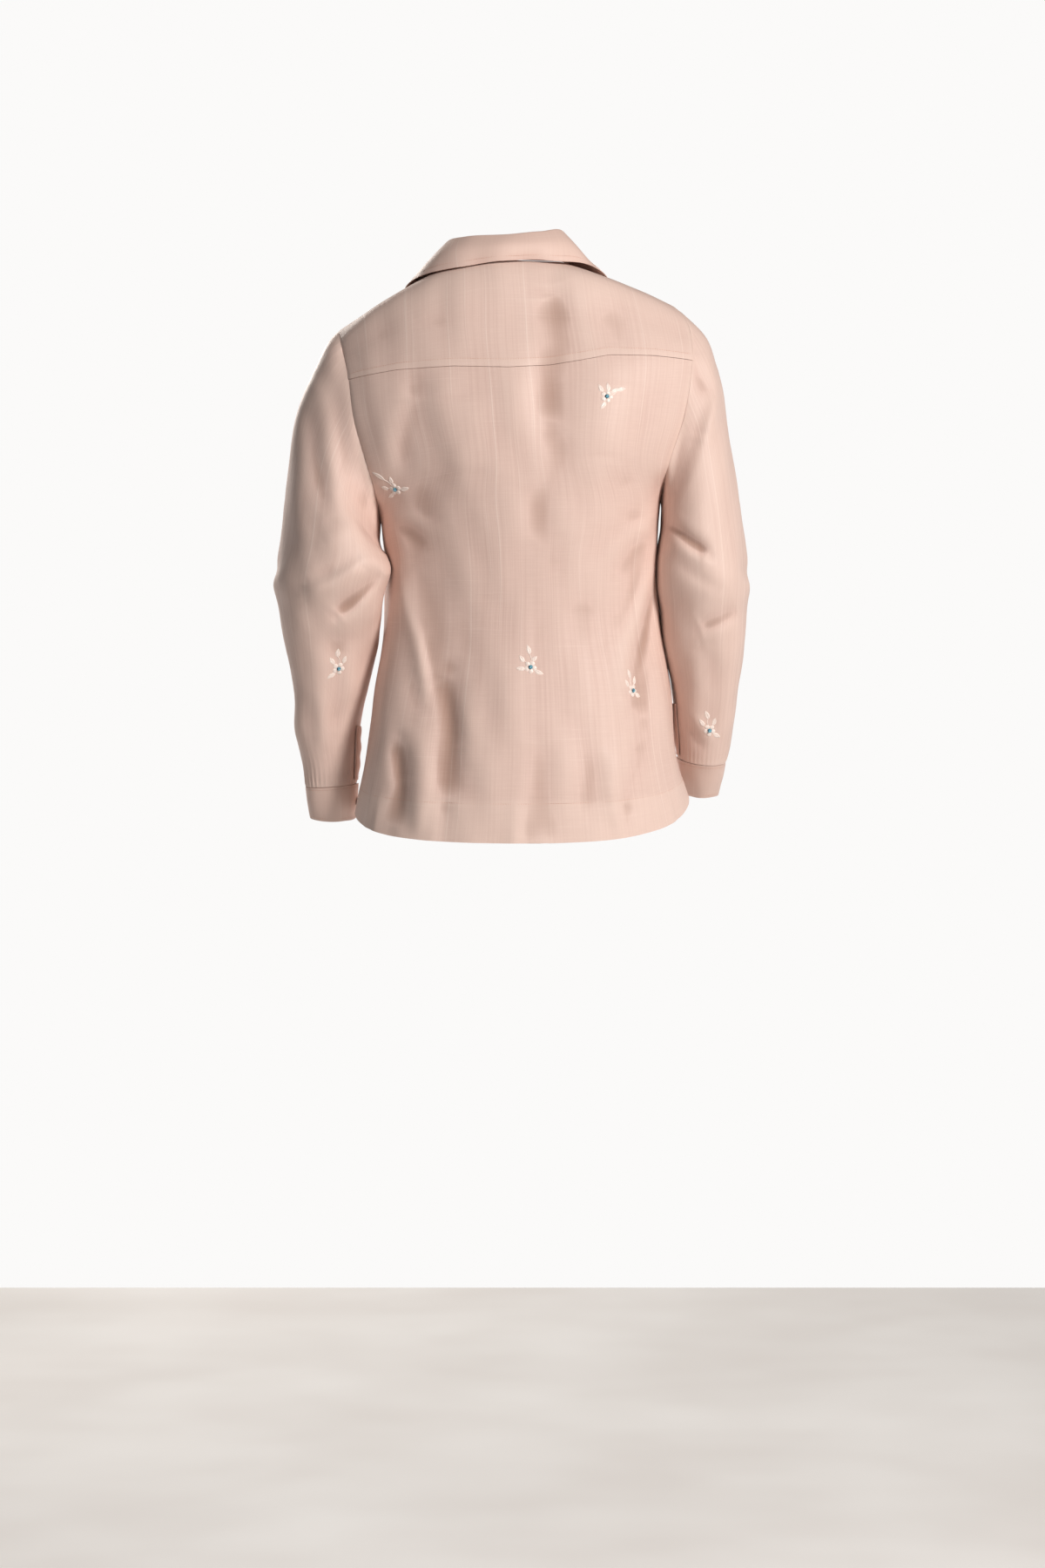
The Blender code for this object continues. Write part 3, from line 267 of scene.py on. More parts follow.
CREASES = fold_table(
    (BACK, 0.02, (
        ("left long hollow", ((0.1, -0.14), (0.092, -0.26), (0.082, -0.38), (0.07, -0.5), (0.076, -0.65)),
         0.036, -0.0075),
        ("left side swell", ((0.142, -0.42), (0.146, -0.52), (0.156, -0.64)), 0.026, 0.004),
        ("spine long hollow", ((-0.04, -0.03), (-0.05, -0.11), (-0.052, -0.2)), 0.026, -0.0038),
        ("right blade swell", ((-0.115, -0.14), (-0.112, -0.28), (-0.1, -0.42)), 0.04, 0.004),
        ("right flank hollow", ((-0.16, -0.3), (-0.166, -0.4), (-0.164, -0.52), (-0.176, -0.62)),
         0.022, -0.006),
    )),
    (BACK, -0.02, (
        ("left arm long hollow", ((0.226, -0.13), (0.232, -0.23), (0.226, -0.3)), 0.024, -0.005),
    )),
    (BACK, 0.03, (
        ("left armpit pull", ((0.136, -0.292), (0.104, -0.3), (0.074, -0.318)), 0.0105, 0.002),
        ("left armpit dip", ((0.134, -0.306), (0.112, -0.316), (0.09, -0.334)), 0.009, -0.0019),
        ("left blade drag", ((0.108, -0.15), (0.118, -0.215), (0.128, -0.27)), 0.0135, -0.0022),
        ("left tuck edge", ((0.13, -0.366), (0.104, -0.438), (0.094, -0.515)), 0.009, 0.0026),
        ("left tuck shade", ((0.122, -0.385), (0.094, -0.448), (0.082, -0.5)), 0.0105, -0.002),
        ("left flank crease", ((0.078, -0.49), (0.062, -0.535), (0.058, -0.575)), 0.015, -0.0022),
        ("left flank lip", ((0.066, -0.482), (0.048, -0.54), (0.046, -0.6)), 0.012, 0.0019),
        ("left hem pinch", ((0.131, -0.57), (0.124, -0.598), (0.122, -0.615)), 0.011, -0.002),
        ("left hem fan", ((0.116, -0.6), (0.106, -0.64), (0.098, -0.68)), 0.0105, 0.002),
        ("left hem fan dip", ((0.126, -0.61), (0.12, -0.645), (0.116, -0.676)), 0.012, -0.0012),
    )),
    (BACK, 0.02, (
        ("right panel fold", ((-0.188, -0.338), (-0.152, -0.448), (-0.143, -0.518)), 0.0075, 0.0027),
        ("right panel shade", ((-0.19, -0.366), (-0.162, -0.452), (-0.154, -0.52)), 0.009, -0.0026),
        ("right panel crease", ((-0.192, -0.4), (-0.176, -0.455), (-0.158, -0.5)), 0.0075, 0.0014),
    )),
    (BACK, 0.03, (
        ("right hem drift", ((-0.141, -0.566), (-0.132, -0.62), (-0.128, -0.67)), 0.0135, 0.0022),
        ("right hem dip", ((-0.158, -0.56), (-0.15, -0.615), (-0.15, -0.66)), 0.012, -0.0022),
        ("right armpit pull", ((-0.184, -0.296), (-0.152, -0.318), (-0.122, -0.35)), 0.012, 0.0022),
        ("right armpit dip", ((-0.182, -0.314), (-0.156, -0.338), (-0.134, -0.368)), 0.0105, -0.0019),
        ("right blade drag", ((-0.178, -0.13), (-0.166, -0.19), (-0.15, -0.25)), 0.015, -0.0019),
        ("spine drag", ((-0.062, -0.195), (-0.05, -0.26), (-0.03, -0.33)), 0.018, -0.0017),
        ("waist drift", ((-0.018, -0.258), (0.006, -0.33), (0.02, -0.4)), 0.0195, 0.0017),
        ("waist fall", ((-0.08, -0.32), (-0.072, -0.4), (-0.06, -0.48)), 0.021, 0.0017),
        ("waist dip", ((0.02, -0.4), (0.016, -0.49), (0.024, -0.575)), 0.018, -0.0017),
        ("seat fall", ((-0.016, -0.5), (-0.022, -0.59), (-0.018, -0.675)), 0.0195, 0.0017),
        ("seat dip", ((-0.092, -0.52), (-0.098, -0.6), (-0.092, -0.67)), 0.018, -0.002),
    )),
    (BACK, 0.01, (
        ("left shoulder drag", ((0.178, -0.11), (0.14, -0.085), (0.1, -0.06)), 0.015, 0.001),
        ("right shoulder drag", ((-0.208, -0.085), (-0.165, -0.07), (-0.125, -0.052)), 0.015, 0.001),
    )),
    # The left sleeve, from behind.
    (BACK, -0.02, (
        ("left cap band", ((0.192, -0.112), (0.178, -0.18), (0.16, -0.256)), 0.0135, 0.0022),
        ("left cap dip", ((0.208, -0.108), (0.2, -0.18), (0.186, -0.262)), 0.012, -0.0022),
        ("left arm hollow", ((0.228, -0.155), (0.226, -0.215), (0.214, -0.27)), 0.012, -0.0022),
        ("left elbow light", ((0.244, -0.298), (0.234, -0.345), (0.212, -0.396)), 0.015, 0.0024),
        ("left elbow crease", ((0.138, -0.358), (0.166, -0.386), (0.198, -0.414)), 0.009, -0.0036),
        ("left elbow lip", ((0.144, -0.368), (0.166, -0.397), (0.196, -0.428)), 0.009, 0.0024),
        ("left elbow tuck", ((0.168, -0.338), (0.198, -0.36), (0.234, -0.372)), 0.009, -0.003),
        ("left elbow tuck lip", ((0.17, -0.35), (0.204, -0.373), (0.24, -0.386)), 0.009, 0.002),
        ("left arm drag", ((0.158, -0.286), (0.186, -0.312), (0.216, -0.328)), 0.012, 0.002),
    )),
    (BACK, -0.03, (
        ("left forearm fall", ((0.184, -0.455), (0.184, -0.51), (0.194, -0.568)), 0.0105, 0.0024),
        ("left forearm dip", ((0.202, -0.43), (0.202, -0.5), (0.208, -0.562)), 0.0105, -0.0024),
        ("left forearm edge", ((0.24, -0.44), (0.238, -0.505), (0.232, -0.566)), 0.012, -0.002),
        ("left wrist fall", ((0.222, -0.5), (0.22, -0.545), (0.222, -0.585)), 0.0105, 0.002),
    )),
    # The right sleeve, from behind.
    (BACK, -0.02, (
        ("right cap edge", ((-0.238, -0.09), (-0.264, -0.142), (-0.242, -0.205)), 0.009, 0.0023),
        ("right cap dip", ((-0.226, -0.11), (-0.246, -0.15), (-0.228, -0.205)), 0.0105, -0.0023),
        ("right arm swell", ((-0.242, -0.205), (-0.22, -0.255), (-0.208, -0.292)), 0.0105, 0.002),
        ("right arm light", ((-0.266, -0.22), (-0.272, -0.275), (-0.286, -0.335)), 0.0135, 0.0022),
        ("right arm crease", ((-0.196, -0.3), (-0.218, -0.32), (-0.246, -0.341)), 0.0075, -0.0033),
        ("right arm lip", ((-0.198, -0.314), (-0.222, -0.334), (-0.252, -0.354)), 0.009, 0.0026),
        ("right elbow tuck", ((-0.204, -0.345), (-0.232, -0.368), (-0.264, -0.384)), 0.009, -0.0024),
    )),
    (BACK, -0.03, (
        ("right forearm hollow", ((-0.29, -0.405), (-0.264, -0.42), (-0.238, -0.428)), 0.0105, -0.0023),
        ("right forearm lip", ((-0.288, -0.418), (-0.262, -0.434), (-0.236, -0.443)), 0.0105, 0.0019),
        ("right forearm fall", ((-0.232, -0.45), (-0.234, -0.51), (-0.24, -0.56)), 0.0105, 0.0022),
        ("right forearm dip", ((-0.254, -0.45), (-0.256, -0.515), (-0.256, -0.56)), 0.0105, -0.0022),
        ("right wrist crease", ((-0.218, -0.542), (-0.232, -0.56), (-0.246, -0.58)), 0.0075, -0.0022),
        ("right wrist lip", ((-0.228, -0.536), (-0.244, -0.552), (-0.258, -0.57)), 0.0075, 0.0019),
    )),
    # The fronts.
    (FRONT, 0.03, (
        ("front left drag", ((0.132, -0.29), (0.1, -0.306), (0.066, -0.33)), 0.012, 0.0022),
        ("front left drag dip", ((0.13, -0.306), (0.104, -0.322), (0.078, -0.35)), 0.0105, -0.0019),
        ("front left chest", ((0.128, -0.13), (0.112, -0.19), (0.108, -0.25)), 0.015, 0.0019),
        ("front left waist", ((0.12, -0.37), (0.098, -0.43), (0.086, -0.5)), 0.012, 0.0024),
        ("front left waist dip", ((0.11, -0.39), (0.084, -0.45), (0.074, -0.52)), 0.0105, -0.0022),
        ("front left hem", ((0.06, -0.54), (0.066, -0.61), (0.058, -0.672)), 0.0135, 0.0022),
        ("front right drag", ((-0.176, -0.292), (-0.142, -0.31), (-0.108, -0.338)), 0.012, 0.0022),
        ("front right drag dip", ((-0.172, -0.308), (-0.14, -0.328), (-0.116, -0.356)), 0.0105, -0.0019),
        ("front right chest", ((-0.158, -0.12), (-0.146, -0.18), (-0.15, -0.24)), 0.015, 0.0019),
        ("front right waist", ((-0.17, -0.38), (-0.142, -0.44), (-0.128, -0.51)), 0.012, 0.0024),
        ("front right waist dip", ((-0.158, -0.4), (-0.128, -0.456), (-0.116, -0.53)), 0.0105, -0.0022),
        ("front right hem", ((-0.104, -0.55), (-0.112, -0.61), (-0.106, -0.665)), 0.0135, 0.0022),
    )),
    # The sleeves, from in front.
    (FRONT, -0.03, (
        ("left crook crease", ((0.16, -0.372), (0.2, -0.384), (0.246, -0.378)), 0.0105, -0.003),
        ("left crook lip", ((0.162, -0.388), (0.202, -0.4), (0.248, -0.396)), 0.0105, 0.0022),
        ("left crook second", ((0.174, -0.345), (0.206, -0.352), (0.244, -0.34)), 0.0105, -0.0022),
        ("left cap fall", ((0.206, -0.12), (0.204, -0.19), (0.192, -0.26)), 0.0135, 0.002),
    )),
    (FRONT, 0.0, (
        ("left forearm front", ((0.196, -0.44), (0.206, -0.5), (0.206, -0.56)), 0.012, 0.002),
    )),
    (FRONT, -0.03, (
        ("right crook crease", ((-0.206, -0.366), (-0.24, -0.378), (-0.278, -0.37)), 0.0105, -0.003),
        ("right crook lip", ((-0.206, -0.382), (-0.242, -0.394), (-0.28, -0.388)), 0.0105, 0.0022),
        ("right cap fall", ((-0.232, -0.112), (-0.238, -0.18), (-0.228, -0.25)), 0.0135, 0.002),
    )),
    (FRONT, 0.0, (
        ("right forearm front", ((-0.238, -0.44), (-0.246, -0.5), (-0.244, -0.556)), 0.012, 0.002),
    )),
    # The sleeves, from their sides: along y, z.
    (LEFT, 0.2, (
        ("left side crease", ((-0.03, -0.34), (0.015, -0.362), (0.06, -0.352)), 0.012, -0.0024),
        ("left side lip", ((-0.034, -0.356), (0.012, -0.38), (0.058, -0.372)), 0.012, 0.0019),
    )),
    (LEFT, 0.19, (
        ("left side fall", ((0.02, -0.12), (0.026, -0.2), (0.02, -0.28)), 0.018, 0.0017),
        ("left side wrist", ((-0.01, -0.45), (-0.026, -0.51), (-0.036, -0.57)), 0.0135, 0.0019),
    )),
    (RIGHT, 0.22, (
        ("right side crease", ((-0.03, -0.346), (0.012, -0.366), (0.056, -0.356)), 0.012, -0.0024),
        ("right side lip", ((-0.034, -0.362), (0.01, -0.384), (0.054, -0.376)), 0.012, 0.0019),
    )),
    (RIGHT, 0.21, (
        ("right side fall", ((0.018, -0.12), (0.024, -0.2), (0.018, -0.28)), 0.018, 0.0017),
    )),
    (RIGHT, 0.22, (
        ("right side wrist", ((-0.012, -0.45), (-0.03, -0.51), (-0.042, -0.566)), 0.0135, 0.0019),
    )),
)
UNEVEN = ((0.120, 0.0008), (0.066, 0.0005), (0.037, 0.00028))  # wavelengths and heights, in metres


def draped(points):
    """The points moved by the folds, the creases and a soft unevenness that no seam interrupts."""
    moved = points + folds(points, FOLDS)
    move = folds(moved, CREASES)
    for i in range(3 * len(UNEVEN)):
        length, height = UNEVEN[i % len(UNEVEN)]
        turn = 2.4 * i
        across = np.array([0.9 * math.cos(turn), 0.9 * math.sin(turn), 0.45 * math.cos(1.7 * i)])
        wave = height * np.sin(moved @ across * 2 * np.pi / length + 1.3 * i)
        move[..., 0] += wave * math.sin(turn + 0.6)
        move[..., 1] += wave * math.cos(turn + 0.6)
    return moved + move


# ---- smooth curves and surfaces ----


def spline(rows, knots, at):
    """Points on smooth curves, one for each column of rows, each at its own place along the knots."""
    step = np.diff(knots)[:, None, None]
    slope = np.diff(rows, axis=0) / step
    tangent = np.empty_like(rows)
    tangent[1:-1] = (slope[:-1] * step[1:] + slope[1:] * step[:-1]) / (step[:-1] + step[1:])
    tangent[0] = 1.5 * slope[0] - 0.5 * tangent[1]
    tangent[-1] = 1.5 * slope[-1] - 0.5 * tangent[-2]
    k = np.clip(np.searchsorted(knots, at, side="right") - 1, 0, len(knots) - 2)
    column = np.arange(len(at))
    h = (knots[k + 1] - knots[k])[:, None]
    t = ((at - knots[k]) / (knots[k + 1] - knots[k]))[:, None]
    return (
        (2 * t**3 - 3 * t**2 + 1) * rows[k, column]
        + (t**3 - 2 * t**2 + t) * h * tangent[k, column]
        + (3 * t**2 - 2 * t**3) * rows[k + 1, column]
        + (t**3 - t**2) * h * tangent[k + 1, column]
    )


def unit(vectors):
    return vectors / np.maximum(np.linalg.norm(vectors, axis=-1, keepdims=True), 1e-12)


def smooth(x):
    """Rises softly from 0 to 1 as x does."""
    x = np.clip(x, 0, 1)
    return x * x * (3 - 2 * x)


def folds(points, table):
    """How far a table's folds move each point."""
    every = points.reshape(-1, 3)
    move = np.zeros_like(every)
    for f in table:
        axis, sign = f.facing
        path = np.array(f.path)
        reach = 3.4 * f.half_width  # further off a fold is too low to matter
        flat = every[:, [1 - axis, 2]]
        past = every[:, axis] * sign - f.past
        close = (flat > path.min(0) - reach) & (flat < path.max(0) + reach)
        near = np.nonzero(close.all(axis=1) & (past > 0))[0]
        if not len(near):
            continue
        flat, past = flat[near], past[near]
        lengths = np.linalg.norm(np.diff(path, axis=0), axis=1)
        best, fade = np.full(len(near), np.inf), np.zeros(len(near))
        for i, length in enumerate(lengths):
            along = (path[i + 1] - path[i]) / length
            t = np.clip((flat - path[i]) @ along / length, 0, 1)
            gap = np.linalg.norm(flat - path[i] - t[:, None] * along * length, axis=1)
            share = (lengths[:i].sum() + t * length) / lengths.sum()
            closer = gap < best
            best = np.where(closer, gap, best)
            fade = np.where(closer, 1 - (2 * share - 1) ** 4, fade)
        # Past either end the fold dies away as fast as it does to its sides.
        ends = np.linalg.norm(flat - path[0], axis=1), np.linalg.norm(flat - path[-1], axis=1)
        tip = np.minimum(*ends)
        body = np.maximum(fade, 0.35 * np.exp(-((tip / f.half_width) ** 2)))
        soft = smooth(past / FOLD_EDGE) * body * np.exp(-((best / f.half_width) ** 2))
        move[near, axis] += sign * f.height * soft
    return move.reshape(points.shape)


def torso_knots():
    """How far each rib is along the cloth from the back hem. Below the underarms only the side seam is
    measured, so the back and the front divide it alike."""
    ends = np.array([(np.array(r.left) + np.array(r.right)) / 2 for r in TORSO])
    middles = np.array([r.middle for r in TORSO])
    low, high = rib_number("back underarm"), rib_number("front underarm")
    steps = []
    for i in range(len(TORSO) - 1):
        at_end = np.linalg.norm(ends[i + 1] - ends[i])
        at_middle = np.linalg.norm(middles[i + 1] - middles[i])
        steps.append((at_end + at_middle) / 2 if low <= i < high else at_end)
    return np.concatenate([[0.0], np.cumsum(steps)])


def rib_number(name):
    return [r.name for r in TORSO].index(name)


def rib_points(u):
    """A point on every rib at each share u of the way to its end: 1 is the wearer's left, -1 the right."""
    side = u >= 0
    s = np.abs(u)
    rows = []
    for r in TORSO:
        middle = np.array(r.middle)
        end = np.where(side[:, None], np.array(r.left), np.array(r.right))
        whole = math.radians(r.turn)
        across = np.sin(s * whole) / math.sin(whole)
        rise = (np.cos(s * whole) - math.cos(whole)) / (1 - math.cos(whole))
        rise = np.clip(rise, 0, None) ** TORSO_FULLNESS
        x = middle[0] + (end[:, 0] - middle[0]) * across
        y = end[:, 1] + (middle[1] - end[:, 1]) * rise
        z = middle[2] + (end[:, 2] - middle[2]) * s**r.fall
        rows.append(np.stack([x, y, z], axis=1))
    return np.array(rows)


KNOTS = torso_knots()
UNDER_BACK = KNOTS[rib_number("back underarm")]
UNDER_FRONT = KNOTS[rib_number("front underarm")]
RIDGE = KNOTS[rib_number("shoulder ridge")]
HEM_FRONT = KNOTS[-1]


def bare_torso(u, v):
    """Points of the torso's outer face before its folds.
    u is as for rib_points, and v is metres along the cloth from the back hem."""
    u, v = np.broadcast_arrays(np.asarray(u, float), np.asarray(v, float))
    shape = u.shape
    u, v = u.ravel(), v.ravel()
    points = spline(rib_points(u), KNOTS, v)
    # The back and the front meet along one side seam, halfway between where each would put it.
    low = (v < UNDER_BACK) | (v > UNDER_FRONT)
    if low.any():
        end = np.where(u[low] >= 0, 1.0, -1.0)
        rows = rib_points(end)
        here = spline(rows, KNOTS, v[low])
        other = spline(rows, KNOTS, HEM_FRONT - v[low])
        points[low] += (np.abs(u[low]) ** 6)[:, None] * (other - here) / 2
    return points.reshape(*shape, 3)


def torso(u, v):
    """Points of the torso's outer face, as for bare_torso."""
    points = bare_torso(u, v)
    return draped(points)


def torso_normals(u, v):
    """Outward directions of the torso's face."""
    u, v = np.broadcast_arrays(np.asarray(u, float), np.asarray(v, float))
    du = torso(np.minimum(u + STEP, 1), v) - torso(np.maximum(u - STEP, -1), v)
    dv = torso(u, np.minimum(v + STEP, HEM_FRONT)) - torso(u, np.maximum(v - STEP, 0))
    return unit(np.cross(dv, du))


@lru_cache
def armhole_loop():
    """The armhole's places v, how far round it each one is, and how far the shoulder's tip is."""
    places = np.linspace(UNDER_BACK, UNDER_FRONT, 400)
    loop = torso(np.ones_like(places), places)
    run = np.concatenate([[0], np.cumsum(np.linalg.norm(np.diff(loop, axis=0), axis=1))])
    return places, run, np.interp(RIDGE, places, run)


def armhole_places(share):
    """Places v round an armhole, back first: 0 and 1 are the shoulder's tip and 0.5 is the underarm."""
    places, run, tip = armhole_loop()
    share = np.asarray(share) % 1.0
    along = np.where(share <= 0.5, tip * (1 - 2 * share), run[-1] - (run[-1] - tip) * (2 * share - 1))
    return np.interp(along, run, places)


def ring_points(rings, share):
    """A point on every ring at each share of the way round: 0 is outermost, 0.25 the back, 0.5 innermost."""
    share = np.asarray(share)
    rows = []
    for r in rings:
        outer, inner = np.array(r.outer), np.array(r.inner)
        # Even steps round a long ellipse take larger angles at its ends.
        half, depths = np.linalg.norm(outer - inner) / 2, (r.back + r.front) / 2
        angle = 2 * np.pi * share + 0.5 * (half - depths) / (half + depths) * np.sin(4 * np.pi * share)
        c, s = np.cos(angle)[:, None], np.sin(angle)[:, None]
        depth = np.where(s >= 0, r.back, r.front)
        reach = np.array([0.0, 1.0, 0.0]) * depth + np.array([0.0, 0.0, r.tip])
        rows.append((outer + inner) / 2 + (outer - inner) / 2 * c + reach * s)
    return np.array(rows)


def tube(rows, share, v):
    """Points of a tube through rows(share), with v from 0 to 1 along it."""
    share, v = np.broadcast_arrays(np.asarray(share, float), np.asarray(v, float))
    shape = share.shape
    share, v = share.ravel(), v.ravel()
    few = rows(np.linspace(0, 1, 24, endpoint=False))
    steps = np.linalg.norm(np.diff(few, axis=0), axis=2).mean(axis=1)
    knots = np.concatenate([[0], np.cumsum(steps)])
    points = spline(rows(share), knots / knots[-1], v).reshape(*shape, 3)
    return draped(points)


def tube_normals(rows, share, v, side):
    share, v = np.broadcast_arrays(np.asarray(share, float), np.asarray(v, float))
    ds = tube(rows, share + STEP, v) - tube(rows, share - STEP, v)
    dv = tube(rows, share, np.minimum(v + STEP, 1)) - tube(rows, share, np.maximum(v - STEP, 0))
    return unit(np.cross(dv, ds)) * side


def sleeve_rows(side):
    """The rows of a sleeve: the armhole that it is sewn into, then its rings. side is 1 for the left one."""
    rings = LEFT_SLEEVE if side > 0 else RIGHT_SLEEVE

    def rows(share):
        armhole = bare_torso(np.full(len(share), float(side)), armhole_places(share))
        return np.concatenate([armhole[None], ring_points(rings, share)])

    return rows


def solve_height(u, z, low, high):
    """Where along the cloth the torso reaches height z, between two places."""
    low, high = np.full(len(u), low), np.full(len(u), high)
    for _ in range(26):
        middle = (low + high) / 2
        below = bare_torso(u, middle)[:, 2] < z
        low, high = np.where(below, middle, low), np.where(below, high, middle)
    return (low + high) / 2


def smooth_path(points, at):
    """Points on a smooth curve through a table of points, at shares of its number of steps."""
    rows = np.repeat(np.array(points, float)[:, None], len(at), axis=1)
    return spline(rows, np.linspace(0, 1, len(points)), np.asarray(at, float))


def neck_path(count):
    """u, v along the wearer's left half of the neck seam, from the centre back to the yoke's front edge."""
    table = []
    for name, u, past in NECK:
        k = rib_number(name)
        table.append((u, KNOTS[k] + past * (KNOTS[min(k + 1, len(KNOTS) - 1)] - KNOTS[k]), 0.0))
    return smooth_path(table, np.linspace(0, 1, count))[:, :2]


# ---- walls of cloth ----


def wall(name, outer, inner, places, closed=False, layers=0.0):
    """A closed mesh between two grids of points, rows by columns. closed joins the last column to the first.
    places has the cloth's own coordinates in metres, with one more column where the grid is closed, and
    layers is how much of a second layer lies under each point, from 0 to 1."""
    rows, columns = outer.shape[:2]
    count, wide = rows * columns, places.shape[1]
    i, j = np.meshgrid(np.arange(rows - 1), np.arange(columns if closed else columns - 1), indexing="ij")
    i, j = i.ravel(), j.ravel()
    after = (j + 1) % columns
    row, below = i * columns, (i + 1) * columns
    around = np.stack([row + j, below + j, below + after, row + after], 1)
    row, below = i * wide, (i + 1) * wide
    spot = np.stack([row + j, below + j, below + j + 1, row + j + 1], 1)
    faces, spots = [around, around[:, ::-1] + count], [spot, spot[:, ::-1]]

    def rim(first, second, at, then):
        faces.append(np.stack([second, first, first + count, second + count], 1))
        spots.append(np.stack([then, at, at, then], 1))

    top, here = np.unique(j), np.unique(i)
    last = (rows - 1) * columns
    rim((top + 1) % columns, top, top + 1, top)
    rim(last + top, last + (top + 1) % columns, (rows - 1) * wide + top, (rows - 1) * wide + top + 1)
    if not closed:
        end = columns - 1
        rim(here * columns, (here + 1) * columns, here * wide, (here + 1) * wide)
        rim((here + 1) * columns + end, here * columns + end, (here + 1) * wide + end, here * wide + end)
    faces, spots = np.concatenate(faces), np.concatenate(spots)
    down, along = outer[1:, :-1] - outer[:-1, :-1], outer[:-1, 1:] - outer[:-1, :-1]
    if np.einsum("ijk,ijk->", np.cross(down, along), (outer - inner)[:-1, :-1]) < 0:
        faces, spots = faces[:, ::-1], spots[:, ::-1]
    points = np.concatenate([outer.reshape(-1, 3), inner.reshape(-1, 3)])
    obj = mesh_object(name, points, faces)
    mesh = obj.data
    uv = mesh.uv_layers.new(name="cloth")
    uv.data.foreach_set("uv", places.reshape(-1, 2)[spots.ravel()].ravel())
    layers = np.broadcast_to(layers, (rows, columns)).ravel()
    point_values(mesh, "layers", np.tile(layers, 2))
    # The hollow value becomes painted shade in troughs and a painted highlight on ridges in the organza.
    point_values(mesh, "hollow", np.tile(hollow(outer, outer - inner, closed).ravel(), 2))
    return obj


def mesh_object(name, points, faces):
    """A smooth object from an array of points and one of faces."""
    faces = np.asarray(faces)
    mesh = bpy.data.meshes.new(name)
    mesh.vertices.add(len(points))
    mesh.vertices.foreach_set("co", np.asarray(points, np.float32).ravel())
    mesh.loops.add(faces.size)
    mesh.loops.foreach_set("vertex_index", faces.ravel().astype(np.int32))
    mesh.polygons.add(len(faces))
    mesh.polygons.foreach_set("loop_start", np.arange(0, faces.size, faces.shape[1], dtype=np.int32))
    mesh.update(calc_edges=True)
    mesh.validate()
    mesh.shade_smooth()
    mesh.set_sharp_from_angle(angle=math.radians(55))
    obj = bpy.data.objects.new(name, mesh)
    bpy.context.scene.collection.objects.link(obj)
    return obj


def point_values(mesh, name, values):
    mesh.attributes.new(name, "FLOAT", "POINT").data.foreach_set("value", np.asarray(values, np.float32))


def hollow(outer, out, closed):
    """How far each point lies in a trough, up to 1, or on a ridge, down to -1. The organza's colour turns
    it into painted shade in the troughs and a painted highlight on the ridges.
    """
    size = np.median(np.linalg.norm(outer[1:] - outer[:-1], axis=2))
    value = np.zeros(outer.shape[:2])
    for reach, share in ((5, 0.4), (11, 0.6)):
        for axis in (0, 1):
            wide = [(reach, reach), (0, 0), (0, 0)] if axis == 0 else [(0, 0), (reach, reach), (0, 0)]
            mode = "wrap" if closed and axis == 1 else "reflect"
            spread = np.pad(outer, wide, mode=mode, **({} if mode == "wrap" else {"reflect_type": "odd"}))
            low, high = (spread[: -2 * reach], spread[2 * reach :])
            if axis == 1:
                low, high = spread[:, : -2 * reach], spread[:, 2 * reach :]
            bend = np.einsum("ijk,ijk->ij", (low + high) / 2 - outer, unit(out))
            value += share * bend / (reach * size)
    return np.tanh(value * 5.5)


def pulled(grid, first=True, last=True, sides=True):
    """The grid with its border drawn in by half a seam's clear space."""
    g = grid.copy()
    if first:
        g[0] += unit(grid[1] - grid[0]) * SEAM / 2
    if last:
        g[-1] += unit(grid[-2] - grid[-1]) * SEAM / 2
    if sides:
        g[:, 0] += unit(grid[:, 1] - grid[:, 0]) * SEAM / 2
        g[:, -1] += unit(grid[:, -2] - grid[:, -1]) * SEAM / 2
    return g


def shared(own, other):
    """The step through a seam's thickness that two meeting pieces both take, so that neither enters the
    other. Where they fold back on each other each keeps its own, and their edges are pressed thin."""
    dot = np.einsum("...k,...k->...", own, other)
    reach = np.minimum(1 / np.sqrt(np.maximum((1 + dot) / 2, 0.1)), 1.25)[..., None]
    fold = np.clip((0.3 - dot) / 1.0, 0, 1)[..., None]
    thin = np.clip((dot[..., None] + 0.2) / 0.9, 0.4, 1)
    return unit(unit(own + other) * (1 - fold) + own * fold) * (reach * (1 - fold) + fold) * thin


def pucker(along, past, pitch, depth, reach):
    """Heights of the small gathers beside a seam: none on the seam itself, and dying away past it."""
    wander = np.sin(along * 37) * 1.4 + np.sin(along * 91) * 0.8
    strong = 0.65 + 0.35 * np.sin(along * 61 + 1)
    wave = np.sin(2 * np.pi * along / pitch + wander)
    return depth * strong * wave * smooth(past / 0.004) * np.exp(-((past / reach) ** 1.5))


# ---- where the pieces meet ----


def armhole_normals(side, v, of_sleeve=False):
    """Directions through the thickness at armhole places v, as the torso or the sleeve uses them."""
    v = np.asarray(v, float)
    own = torso_normals(np.full(v.shape, float(side)), v)
    fine = np.linspace(0, 1, 801)[:-1]
    places = armhole_places(fine)
    places[0] = RIDGE
    back = fine <= 0.5
    share = np.where(
        v <= RIDGE,
        np.interp(v, places[back][::-1], fine[back][::-1]),
        np.interp(v, places[~back][::-1], fine[~back][::-1]),
    )
    sleeve = tube_normals(sleeve_rows(side), share, np.zeros(v.shape), side)
    return shared(sleeve, own) if of_sleeve else shared(own, sleeve)


def side_normals(side, v):
    """Directions through the thickness at a side seam, the same for the back and the front."""
    back = torso_normals(float(side), np.minimum(v, HEM_FRONT - v))
    front = torso_normals(float(side), np.maximum(v, HEM_FRONT - v))
    return unit(back + front)


